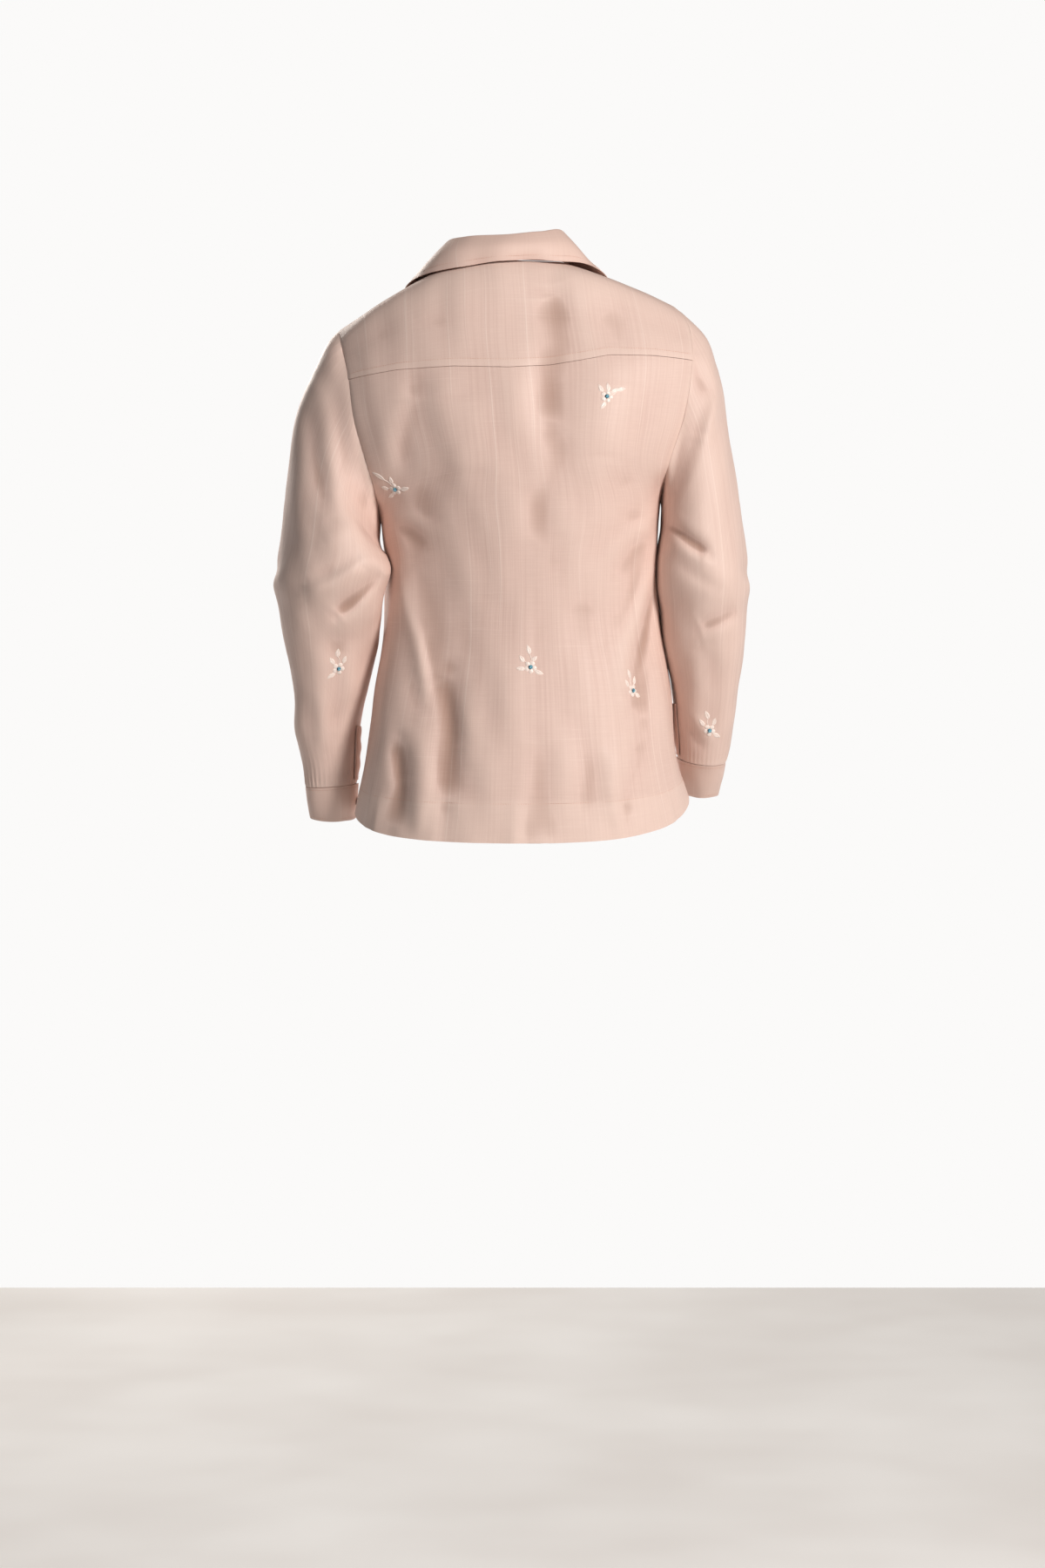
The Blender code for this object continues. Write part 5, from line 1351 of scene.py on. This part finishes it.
def sewing_lines():
    """Every line of stitching: points, outward directions and how far above them the stitches lie."""
    u = np.linspace(-SIDE, SIDE, 160)
    lines = []

    def on_torso(u, v, lift=STITCH_LIFT):
        lines.append((torso(u, v), torso_normals(u, v), lift))

    on_torso(u, yoke_line(u) + YOKE_ALLOWANCE)
    on_torso(u, np.full(u.shape, HEM - 0.0015))
    rows = np.linspace(BREAK, HEM_FRONT - 0.002, 160)
    for side in (1, -1):
        edge = front_edge(side, rows)
        lift = STITCH_LIFT if side > 0 else UNDERSIDE
        on_torso(edge + side * (FACING - 0.002) / TORSO_HALF, rows)
        on_torso(edge + side * 0.004 / TORSO_HALF, rows, lift)
        across = np.linspace(front_edge(side, HEM_FRONT) + side * 0.03, side * SIDE, 80)
        on_torso(across, np.full(across.shape, HEM_FRONT - HEM + 0.0015))
        across = np.linspace(front_edge(side, FRONT_YOKE) + side * 0.01, side * SIDE, 60)
        on_torso(across, np.full(across.shape, FRONT_YOKE - 0.004))
        down = np.linspace(0.05, 0.97, 60)
        points, normals = lapel_points(side, down, np.full(60, 0.90))
        lines.append((points, normals, LAYER + 0.0016 + WALL))
        run = np.linspace(0.01, CUFF_END - 0.01, 90)
        for place in (0.08, 0.92):
            points, normals = cuff_grid(side, run, np.full(90, place))
            lines.append((points, normals, STITCH_LIFT))
        sleeve = sleeve_rows(side)
        down = np.linspace(0.85, 0.985, 30)
        for across in (0.006, 0.048):
            share = np.full(30, CUFF_SLIT + across)
            normals = tube_normals(sleeve, share, down, side)
            lines.append((tube(sleeve, share, down), normals, PLACKET_LIFT))
    grid, normals, _shares = collar_grid()
    for row in (-3, -len(grid) // 2 - 8):
        lines.append((grid[row], normals[row], STITCH_LIFT))
    return lines


def sew():
    """Every visible line of stitching, as one piece."""
    points, faces, count = [], [], 0
    for line, normals, lift in sewing_lines():
        p, f = stitches_along(line, normals, lift)
        points.append(p)
        faces.append(f + count)
        count += len(p)
    stitching = mesh_object("seam_stitching", np.concatenate(points), np.concatenate(faces))
    made(stitching, "sewing", None)


# ---- buttons ----

BUTTON_PROFILE = (  # radius and height of each turn of the lathe, from mid face to mid back
    (0.0000, 0.00150), (0.0018, 0.00150), (0.0030, 0.00158), (0.0036, 0.00190), (0.0043, 0.00218),
    (0.0050, 0.00220), (0.0054, 0.00195), (0.0055, 0.00150), (0.0054, 0.00070), (0.0046, 0.00020),
    (0.0020, 0.00010), (0.0000, 0.00010),
)
BUTTON_TURNS = 48  # corners round the lathe
BUTTON_LIFT = 0.0006  # how far its back stands off the cloth
HOLE_PLACE, HOLE_RADIUS = 0.00125, 0.00052


def turned_button(name, node, place, out, up):
    """A shell button turned on a lathe, with a dished face and four drilled holes."""
    turns = BUTTON_TURNS
    z = unit(np.array(out, float).reshape(3))
    x = unit(np.cross(np.array(up, float), z))
    axes = np.stack([x, np.cross(z, x), z])
    points = []
    for radius, height in BUTTON_PROFILE:
        way = np.arange(turns) * 2 * np.pi / turns
        points.append(np.stack([radius * np.cos(way), radius * np.sin(way), np.full(turns, height)], axis=1))
    local = np.concatenate(points)
    faces = []
    for i in range(len(BUTTON_PROFILE) - 1):
        j = np.arange(turns)
        a, b = i * turns + j, i * turns + (j + 1) % turns
        faces.append(np.stack([a, a + turns, b + turns, b], axis=1))
    disc = mesh_object(name, local, np.concatenate(faces))
    cutters = []
    for i in range(4):
        way = math.pi / 4 + i * math.pi / 2
        at = (HOLE_PLACE * math.cos(way), HOLE_PLACE * math.sin(way), 0.001)
        bpy.ops.mesh.primitive_cylinder_add(vertices=16, radius=HOLE_RADIUS, depth=0.004, location=at)
        cutters.append(bpy.context.object)
    bm = bmesh.new()
    bm.from_mesh(disc.data)
    bmesh.ops.remove_doubles(bm, verts=bm.verts, dist=1e-7)
    bmesh.ops.recalc_face_normals(bm, faces=bm.faces)
    bm.to_mesh(disc.data)
    bm.free()
    for cutter in cutters:
        hole = disc.modifiers.new("hole", "BOOLEAN")
        hole.object = cutter
        hole.solver = "EXACT"
    shape = bpy.data.meshes.new_from_object(disc.evaluated_get(bpy.context.evaluated_depsgraph_get()))
    disc.modifiers.clear()
    disc.data = shape
    for cutter in cutters:
        bpy.data.objects.remove(cutter, do_unlink=True)
    origin = np.array(place, float).reshape(3) + z * BUTTON_LIFT
    local = np.array([vertex.co for vertex in shape.vertices])
    shape.vertices.foreach_set("co", (origin + local @ axes).astype(np.float32).ravel())
    shape.shade_smooth()
    shape.set_sharp_from_angle(angle=math.radians(35))
    shape.update()
    made(disc, "shell", node)
    return origin, axes


FRONT_BUTTONS = (-0.192, -0.282, -0.372, -0.462, -0.552)  # heights
TIE_STEPS, TIE_SIDES = 9, 6  # places along a thread through a button, and corners round it
TIE_RADIUS = 0.00028


def fasten():
    """The five front buttons, one on each cuff, and the crossed threads that hold them."""
    at_v = np.linspace(BREAK, HEM_FRONT, 200)
    line = torso(0 * at_v, at_v)
    held = []
    for i, height in enumerate(FRONT_BUTTONS):
        at = np.interp(-height, -line[:, 2], at_v)
        place, out = torso(0.0, at), torso_normals(0.0, at)
        held.append(turned_button(f"shell_button_{i + 1}", f"front_button_{i + 1}", place, out, (0, 0, 1)))
    for name, side in (("left", 1), ("right", -1)):
        run = np.array((1 + CUFF_END) / 2)
        place, out = cuff_grid(side, run, np.array(0.5))
        held.append(turned_button(f"shell_button_{name}", f"cuff_button_{name}", place, out, (0, 0, 1)))
    points, faces, count = [], [], 0
    for origin, axes in held:
        for sign in (1, -1):
            end = HOLE_PLACE * 0.95 * np.array([math.cos(math.pi / 4), sign * math.sin(math.pi / 4), 0])
            t = np.linspace(-1, 1, TIE_STEPS)
            middle = end * t[:, None] + np.array([0, 0, 1.0]) * (0.00165 + 0.0003 * (1 - t**2))[:, None]
            middle += np.array([0, 0, 0.00012]) * (sign > 0) * (1 - t**2)[:, None]
            side = unit(np.cross([0, 0, 1.0], end))
            way = np.linspace(0, 2 * np.pi, TIE_SIDES, endpoint=False)
            round_it = np.cos(way)[None, :, None] * side + np.sin(way)[None, :, None] * np.array([0, 0, 1.0])
            tube_points = (middle[:, None] + TIE_RADIUS * round_it).reshape(-1, 3)
            points.append(origin + tube_points @ axes)
            i, j = np.meshgrid(np.arange(TIE_STEPS - 1), np.arange(TIE_SIDES), indexing="ij")
            a, b = (i * TIE_SIDES + j).ravel(), (i * TIE_SIDES + (j + 1) % TIE_SIDES).ravel()
            faces.append(np.stack([a, b, b + TIE_SIDES, a + TIE_SIDES], axis=1) + count)
            count += len(tube_points)
    threads = mesh_object("button_threads", np.concatenate(points), np.concatenate(faces))
    made(threads, "sewing", None)


# ---- materials ----


def linear(code):
    """A colour from its sRGB hex code."""
    parts = [int(code[i : i + 2], 16) / 255 for i in (0, 2, 4)]
    return tuple(c / 12.92 if c <= 0.04045 else ((c + 0.055) / 1.055) ** 2.4 for c in parts)


def connect(tree, node, links):
    """Gives a node's sockets what they take: values, or links from other sockets."""
    for socket, value in links.items():
        if isinstance(value, bpy.types.NodeSocket):
            tree.links.new(value, node.inputs[socket])
        else:
            node.inputs[socket].default_value = value


def add_node(tree, kind, links=None, **settings):
    """Adds a shader node with its settings, and with links or values for its sockets."""
    node = tree.nodes.new("ShaderNode" + kind)
    for name, value in settings.items():
        setattr(node, name, value)
    connect(tree, node, links or {})
    return node


def new_material(name):
    material = bpy.data.materials.new(name)
    material.use_nodes = True
    return material, material.node_tree, material.node_tree.nodes["Principled BSDF"]


def colour(values):
    return (*values, 1.0)


MIX_SHARE, MIX_ONE, MIX_OTHER, MIX_COLOUR = 0, 6, 7, 2  # the sockets with which a mix node mixes colours


def blended(tree, tone, changes):
    """A colour with others laid over it in turn. Each change holds what it follows, the values between
    which it grows, its share where it is strongest, and the colour that it lays over."""
    for follows, low, high, strongest, laid in changes:
        links = {"Value": follows, "From Min": low, "From Max": high, "To Max": strongest}
        share = add_node(tree, "MapRange", links).outputs[0]
        links = {MIX_SHARE: share, MIX_ONE: tone, MIX_OTHER: laid}
        tone = add_node(tree, "Mix", links, data_type="RGBA").outputs[MIX_COLOUR]
    return tone


WARP = 0.0030  # real threads lie 0.15 mm apart; they show as bundles, so the bundles are drawn
WEAVE = 0.0014  # the smallest check that shows
THREADS = (  # what runs in the cloth: its grain across and along in metres, and how much it varies in itself
    ("warp", WARP, 0.34, 3.0), ("fine", WEAVE * 0.8, 0.030, 2.0), ("weft", 0.045, WEAVE, 2.0),
    ("slub", 0.0065, 0.90, 3.0), ("cross slub", 0.22, 0.0045, 3.0), ("cloud", 0.085, 0.130, 3.0),
)
SLUBS = (0.655, 0.72)  # where the noise passes these values, a thread is thick
CROSS_SLUBS = (0.66, 0.76)


def organza(name, doubled):
    """Organza of pineapple leaf and silk, woven plain: crisp and lustrous, with faint bundles of threads
    running down it, a few thick knotted ones, and soft clouds where what is behind shows through. Its
    colour also holds painted shade in the troughs of its folds and a painted highlight on their ridges."""
    s = bpy.context.scene.shirt
    material, tree, shader = new_material(name)
    place = add_node(tree, "UVMap", uv_map="cloth").outputs[0]
    grain = {}
    for kind, across, along, detail in THREADS:
        drawn_out = add_node(tree, "Mapping", {"Vector": place, "Scale": (1 / across, 1 / along, 1)})
        links = {"Vector": drawn_out.outputs[0], "Scale": 1.0, "Detail": detail, "Roughness": 0.6}
        grain[kind] = add_node(tree, "TexNoise", links, noise_dimensions="2D").outputs["Fac"]
    layers = add_node(tree, "Attribute", attribute_name="layers").outputs["Fac"]
    shade_and_highlight_at = add_node(tree, "Attribute", attribute_name="hollow").outputs["Fac"]
    # The ridge colour is a painted highlight on the folds' ridges, and also the paler colour of doubled
    # bands.
    sheer, close, slub, ridge = map(colour, (s.sheer_colour, s.cloth_colour, s.slub_colour, s.ridge_highlight_and_band_colour))
    tone = blended(tree, sheer, (
        (grain["warp"], 0.32, 0.68, 1.0, close),
        (grain["fine"], 0.35, 0.65, 0.35, close),
        (grain["cloud"], 0.34, 0.66, 0.45, close),
        (grain["weft"], 0.35, 0.65, 0.30, sheer),
        (layers, 0.0, 1.0, *((0.55, colour(s.doubled_colour)) if doubled else (0.35, ridge))),
        (grain["slub"], *SLUBS, 0.45, slub),
        (grain["cross slub"], *CROSS_SLUBS, 0.16, slub),
        # Painted shade: darker in the troughs of the folds. Painted highlight: lighter on their ridges.
        (shade_and_highlight_at, 0.02, 1.0, 0.62, colour(s.trough_shade_colour)),
        (shade_and_highlight_at, -0.04, -1.0, 0.36, ridge),
    ))
    links = {"Value": grain["warp"], "From Min": 0.3, "From Max": 0.7, "To Min": 0.62, "To Max": 0.50}
    rough = add_node(tree, "MapRange", links).outputs[0]
    height = add_node(tree, "Math", {0: grain["fine"], 1: grain["weft"]}, operation="ADD").outputs[0]
    for kind, (low, high), rise in (("slub", SLUBS, 0.8), ("cross slub", CROSS_SLUBS, 0.5)):
        links = {"Value": grain[kind], "From Min": low, "From Max": high, "To Max": rise}
        raised = add_node(tree, "MapRange", links).outputs[0]
        height = add_node(tree, "Math", {0: height, 1: raised}, operation="ADD").outputs[0]
    bump = add_node(tree, "Bump", {"Strength": 0.35, "Distance": 0.00018, "Height": height})
    connect(tree, shader, {
        "Base Color": tone, "Roughness": rough, "Specular IOR Level": 0.30, "Sheen Weight": 0.10,
        "Sheen Roughness": 0.35, "Sheen Tint": ridge, "Normal": bump.outputs[0],
    })
    return material


def satin_thread():
    """Embroidery floss of ivory rayon, laid in satin stitch: bright, silky and ribbed by its own strands."""
    s = bpy.context.scene.shirt
    material, tree, shader = new_material("ivory rayon embroidery floss")
    place = add_node(tree, "TexCoord").outputs["Object"]
    noise = add_node(tree, "TexNoise", {"Vector": place, "Scale": 900.0, "Detail": 2.0})
    strand = noise.outputs["Fac"]
    links = {"Value": strand, "From Min": 0.3, "From Max": 0.7, "To Min": 0.42, "To Max": 0.30}
    rough = add_node(tree, "MapRange", links).outputs[0]
    bump = add_node(tree, "Bump", {"Strength": 0.4, "Distance": 0.0002, "Height": strand})
    # Painted shade: the floss is darker where its strands' bumps are low.
    tone = blended(tree, colour(s.floss_painted_shade), ((strand, 0.35, 0.65, 1.0, colour(s.floss_colour)),))
    connect(tree, shader, {
        "Base Color": tone, "Roughness": rough, "Sheen Weight": 0.3, "Specular IOR Level": 0.5,
        "Normal": bump.outputs[0],
    })
    return material


def cut_glass():
    """Lead glass stones, cut and backed: teal, each facet painted bright or dark, a painted reflection of
    what it would mirror.
    """
    s = bpy.context.scene.shirt
    material, tree, shader = new_material("teal cut glass")
    facet = add_node(tree, "Attribute", attribute_name="tone").outputs["Fac"]
    # Painted reflections: the facets' tone picks a dark, a middle or a bright colour.
    tone = blended(tree, colour(s.stone_dark_reflection), (
        (facet, 0.0, 0.5, 1.0, colour(s.stone_colour)),
        (facet, 0.5, 1.0, 1.0, colour(s.stone_bright_reflection)),
    ))
    connect(tree, shader, {
        "Base Color": tone, "Roughness": 0.06, "IOR": 1.6, "Coat Weight": 1.0, "Coat Roughness": 0.03,
    })
    return material


def river_shell():
    """River shell, sawn and polished: pale and glossy, with faint growth bands and a pearly bloom."""
    s = bpy.context.scene.shirt
    material, tree, shader = new_material("polished river shell")
    place = add_node(tree, "TexCoord").outputs["Object"]
    links = {"Vector": place, "Scale": 260.0, "Distortion": 6.0, "Detail": 3.0}
    band = add_node(tree, "TexWave", links).outputs["Fac"]
    links = {"Value": band, "From Min": 0.2, "From Max": 0.8, "To Min": 0.16, "To Max": 0.26}
    rough = add_node(tree, "MapRange", links).outputs[0]
    tone = blended(tree, colour(s.shell_colour), ((band, 0.2, 0.8, 1.0, colour(s.shell_band)),))
    connect(tree, shader, {
        "Base Color": tone, "Roughness": rough, "Coat Weight": 0.6, "Coat Roughness": 0.08,
        "Sheen Weight": 0.15,
    })
    return material


def sewing_thread():
    """Polyester sewing thread, spun and twisted: a little pinker than the cloth and softly shiny."""
    s = bpy.context.scene.shirt
    material, tree, shader = new_material("blush polyester sewing thread")
    place = add_node(tree, "TexCoord").outputs["Object"]
    twist = add_node(tree, "TexNoise", {"Vector": place, "Scale": 1500.0, "Detail": 1.0}).outputs["Fac"]
    links = {"Value": twist, "From Min": 0.3, "From Max": 0.7, "To Min": 0.55, "To Max": 0.42}
    rough = add_node(tree, "MapRange", links).outputs[0]
    tone = blended(tree, colour(s.thread_shade), ((twist, 0.3, 0.7, 1.0, colour(s.thread_colour)),))
    connect(tree, shader, {"Base Color": tone, "Roughness": rough})
    return material


def studio_paper():
    """Seamless background paper, rolled out smooth: matt and almost white."""
    s = bpy.context.scene.shirt
    material, tree, shader = new_material("white background paper")
    place = add_node(tree, "TexCoord").outputs["Object"]
    fibre = add_node(tree, "TexNoise", {"Vector": place, "Scale": 3.0, "Detail": 2.0}).outputs["Fac"]
    white = colour(s.paper_colour)
    tone = blended(tree, colour(linear("F1EFED")), ((fibre, 0.3, 0.7, 1.0, white),))
    connect(tree, shader, {"Base Color": tone, "Roughness": 0.9})
    return material


KINDS = {
    "organza": lambda: organza("blush pineapple silk organza", False),
    "doubled": lambda: organza("doubled blush organza", True),
    "thread": satin_thread,
    "stone": cut_glass,
    "shell": river_shell,
    "sewing": sewing_thread,
    "paper": studio_paper,
}
FINISHED = {}


def finish_of(kind):
    """The material of a kind, made once."""
    if kind not in FINISHED:
        FINISHED[kind] = KINDS[kind]()
    return FINISHED[kind]


MATERIALS = {kind: (lambda kind=kind: finish_of(kind)) for kind in KINDS}


# ---- the stage ----

VIEW_TARGET = Vector((-0.0234, 0.0, -0.620))
VIEW_DISTANCE = 4.5
VIEW_RISE = 2.9  # degrees that the camera looks down
WALL_TOP = 0.18  # sine of how high the bright wall reaches
WALL_FOOT = -0.46  # and of how low
FLOOR_HALF = 1.6


def lamp(name, place, size, power, tint):
    light = bpy.data.lights.new(name, "AREA")
    light.shape = "DISK"
    light.size = size
    light.energy = power
    light.color = linear(tint)
    obj = bpy.data.objects.new(name, light)
    obj.location = place
    obj.rotation_euler = (Vector((0, 0, -0.35)) - Vector(place)).to_track_quat("-Z", "Y").to_euler()
    bpy.context.scene.collection.objects.link(obj)


def set_stage():
    scene = bpy.context.scene
    s = scene.shirt
    half, rows = FLOOR_HALF, 12
    x, y = np.meshgrid(np.linspace(-half, half, rows), np.linspace(-half, half, rows), indexing="ij")
    floor_points = np.stack([x, y, np.full(x.shape, s.floor_height)], axis=-1).reshape(-1, 3)
    floor = mesh_object("paper_floor", floor_points, grid_faces(rows, rows)[:, ::-1])
    floor.data.materials.append(MATERIALS["paper"]())
    world = bpy.data.worlds.new("studio")
    world.use_nodes = True
    tree = world.node_tree
    sky = tree.nodes["Background"]
    # A bright wall all round, brightest before the shirt, between a dim floor and a dim ceiling.
    way = add_node(tree, "SeparateXYZ", {0: add_node(tree, "TexCoord").outputs["Generated"]})
    white, soft = colour(linear("FBFAF9")), colour(linear("7E7C7B"))
    dim = (s.ceiling, s.ceiling, s.ceiling, 1.0)
    wall_colour = blended(tree, white, (
        (way.outputs["Y"], -0.60, -0.05, 1.0, soft),
        (way.outputs["Z"], WALL_TOP, WALL_TOP + 0.10, 1.0, dim),
        (way.outputs["Z"], WALL_FOOT, WALL_FOOT - 0.08, 1.0, dim),
    ))
    connect(tree, sky, {"Color": wall_colour})
    scene.world = world
    lamp("key", (-2.7, 3.7, 1.4), 1.2, 230, "FFF9F4")
    lamp("fill", (3.4, 2.6, 0.4), 2.0, 5, "FFF9F4")
    lamp("front key", (2.2, -4.0, 1.3), 1.4, 150, "FFF7EF")
    camera = bpy.data.cameras.new("camera")
    camera.sensor_fit = "VERTICAL"
    camera.sensor_height = 36
    camera.lens = s.lens
    view = bpy.data.objects.new("camera", camera)
    rise = math.radians(VIEW_RISE)
    view.location = VIEW_TARGET + Vector((0, math.cos(rise), math.sin(rise))) * VIEW_DISTANCE
    view.rotation_euler = (VIEW_TARGET - view.location).to_track_quat("-Z", "Y").to_euler()
    scene.collection.objects.link(view)
    scene.camera = view
    scene.view_settings.view_transform = "Standard"


# ---- settings, operators and panel ----


def colour_setting(name, description, code):
    return FloatVectorProperty(
        name=name, description=description, default=linear(code), subtype="COLOR", size=3, min=0, max=1
    )


def length_setting(name, description, default):
    return FloatProperty(name=name, description=description, default=default, min=0.0001, unit="LENGTH")


class ShirtSettings(PropertyGroup):
    cell: length_setting("Cell", "Size of the cloth's mesh cells", 0.0031)
    sprig_size: length_setting("Sprig size", "Width of an embroidered sprig", 0.037)
    stone_width: length_setting("Stone width", "Width of a cut stone", 0.0052)
    stitch_pitch: length_setting("Stitch pitch", "From one stitch to the next", 0.0030)
    stitch_width: length_setting("Stitch width", "Width of a stitch", 0.00055)
    cloth_colour: colour_setting("Cloth", "Organza where its threads are close", "E2C7BC")
    sheer_colour: colour_setting("Sheer", "Organza where what is behind shows through", "D5B7AC")
    doubled_colour: colour_setting("Doubled", "Two or more layers", "DFBCAF")
    slub_colour: colour_setting("Slub", "Thick threads", "F2DED4")
    # Painted shade in the folds' troughs, then a painted highlight on their ridges that is also the doubled
    # bands' colour.
    trough_shade_colour: colour_setting("Hollow", "Cloth in a trough", "966F5C")
    ridge_highlight_and_band_colour: colour_setting("Ridge", "Cloth on a ridge", "E9D2C6")
    floss_colour: colour_setting("Floss", "Embroidery floss", "FCF1EA")
    # Painted shade between the floss's strands.
    floss_painted_shade: colour_setting("Floss shade", "Floss between its strands", "EBD6CB")
    stone_colour: colour_setting("Stone", "Cut glass", "2F7FA0")
    # Painted reflections on the stones' facets, bright and dark.
    stone_bright_reflection: colour_setting("Stone light", "Its bright facets", "8FD0DE")
    stone_dark_reflection: colour_setting("Stone dark", "Its dark facets", "0D2740")
    shell_colour: colour_setting("Shell", "Button shell", "EFDFD2")
    shell_band: colour_setting("Shell bands", "Its growth bands", "D9C0B0")
    thread_colour: colour_setting("Thread", "Sewing thread", "E0AE98")
    thread_shade: colour_setting("Thread shade", "Sewing thread in its twist", "C08B74")
    paper_colour: colour_setting("Paper", "Background paper", "FCFCFB")
    floor_height: FloatProperty(
        name="Floor", description="Height of the floor", default=-1.543, unit="LENGTH"
    )
    lens: FloatProperty(name="Lens", description="Focal length in millimetres", default=84.5, min=10)
    ceiling: FloatProperty(
        name="Ceiling", description="How bright the studio's ceiling is", default=0.08, min=0
    )


class SHIRT_OT_back(Operator):
    """Cuts the back, from its hem to the yoke seam"""

    bl_idname = "shirt.back"
    bl_label = "Back"

    def execute(self, context):
        cut_back()
        return {"FINISHED"}


class SHIRT_OT_yoke(Operator):
    """Cuts the yoke, which goes over the shoulders"""

    bl_idname = "shirt.yoke"
    bl_label = "Yoke"

    def execute(self, context):
        cut_yoke()
        return {"FINISHED"}


class SHIRT_OT_fronts(Operator):
    """Cuts both fronts"""

    bl_idname = "shirt.fronts"
    bl_label = "Fronts"

    def execute(self, context):
        cut_front("front_panel_left", "front_left", 1)
        cut_front("front_panel_right", "front_right", -1)
        return {"FINISHED"}


class SHIRT_OT_lapels(Operator):
    """Cuts the lapels and lays them on the fronts"""

    bl_idname = "shirt.lapels"
    bl_label = "Lapels"

    def execute(self, context):
        cut_lapel("lapel_facing_left", "lapel_left", 1)
        cut_lapel("lapel_facing_right", "lapel_right", -1)
        return {"FINISHED"}


class SHIRT_OT_collar(Operator):
    """Cuts the collar and rolls it over"""

    bl_idname = "shirt.collar"
    bl_label = "Collar"

    def execute(self, context):
        cut_collar()
        return {"FINISHED"}


class SHIRT_OT_sleeves(Operator):
    """Cuts both sleeves and gathers them into armholes and cuffs"""

    bl_idname = "shirt.sleeves"
    bl_label = "Sleeves"

    def execute(self, context):
        cut_sleeve("sleeve_tube_left", "sleeve_left", 1)
        cut_sleeve("sleeve_tube_right", "sleeve_right", -1)
        return {"FINISHED"}


class SHIRT_OT_cuffs(Operator):
    """Cuts both cuffs and laps their ends"""

    bl_idname = "shirt.cuffs"
    bl_label = "Cuffs"

    def execute(self, context):
        cut_cuff("cuff_band_left", "cuff_left", 1)
        cut_cuff("cuff_band_right", "cuff_right", -1)
        return {"FINISHED"}


class SHIRT_OT_plackets(Operator):
    """Binds the slits above the cuffs"""

    bl_idname = "shirt.plackets"
    bl_label = "Plackets"

    def execute(self, context):
        cut_placket("slit_binding_left", "placket_left", 1)
        cut_placket("slit_binding_right", "placket_right", -1)
        return {"FINISHED"}


class SHIRT_OT_buttons(Operator):
    """Turns the buttons and sews them on"""

    bl_idname = "shirt.buttons"
    bl_label = "Buttons"

    def execute(self, context):
        fasten()
        return {"FINISHED"}


class SHIRT_OT_embroidery(Operator):
    """Sews the sprigs and sets their stones"""

    bl_idname = "shirt.embroidery"
    bl_label = "Embroidery"

    def execute(self, context):
        embroider()
        return {"FINISHED"}


class SHIRT_OT_stitching(Operator):
    """Sews every visible line of stitching"""

    bl_idname = "shirt.stitching"
    bl_label = "Stitching"

    def execute(self, context):
        sew()
        return {"FINISHED"}


class SHIRT_OT_stage(Operator):
    """Lays the floor, and sets the lights and the camera"""

    bl_idname = "shirt.stage"
    bl_label = "Stage"

    def execute(self, context):
        set_stage()
        return {"FINISHED"}


OPERATORS = (
    SHIRT_OT_back,
    SHIRT_OT_yoke,
    SHIRT_OT_fronts,
    SHIRT_OT_lapels,
    SHIRT_OT_collar,
    SHIRT_OT_sleeves,
    SHIRT_OT_cuffs,
    SHIRT_OT_plackets,
    SHIRT_OT_buttons,
    SHIRT_OT_embroidery,
    SHIRT_OT_stitching,
    SHIRT_OT_stage,
)


class SHIRT_PT_panel(Panel):
    """Lists the steps that make the shirt, and its settings"""

    bl_idname = "SHIRT_PT_panel"
    bl_label = "Barong shirt"
    bl_space_type = "VIEW_3D"
    bl_region_type = "UI"
    bl_category = "Barong shirt"

    def draw(self, context):
        for step in OPERATORS:
            self.layout.operator(step.bl_idname)
        for name in ShirtSettings.__annotations__:
            self.layout.prop(context.scene.shirt, name)


def register():
    for cls in (ShirtSettings, *OPERATORS, SHIRT_PT_panel):
        bpy.utils.register_class(cls)
    bpy.types.Scene.shirt = PointerProperty(type=ShirtSettings)


def unregister():
    del bpy.types.Scene.shirt
    for cls in (SHIRT_PT_panel, *reversed(OPERATORS), ShirtSettings):
        bpy.utils.unregister_class(cls)


def main():
    register()
    for step in OPERATORS:
        group, name = step.bl_idname.split(".")
        getattr(getattr(bpy.ops, group), name)()


if __name__ == "__main__":
    main()
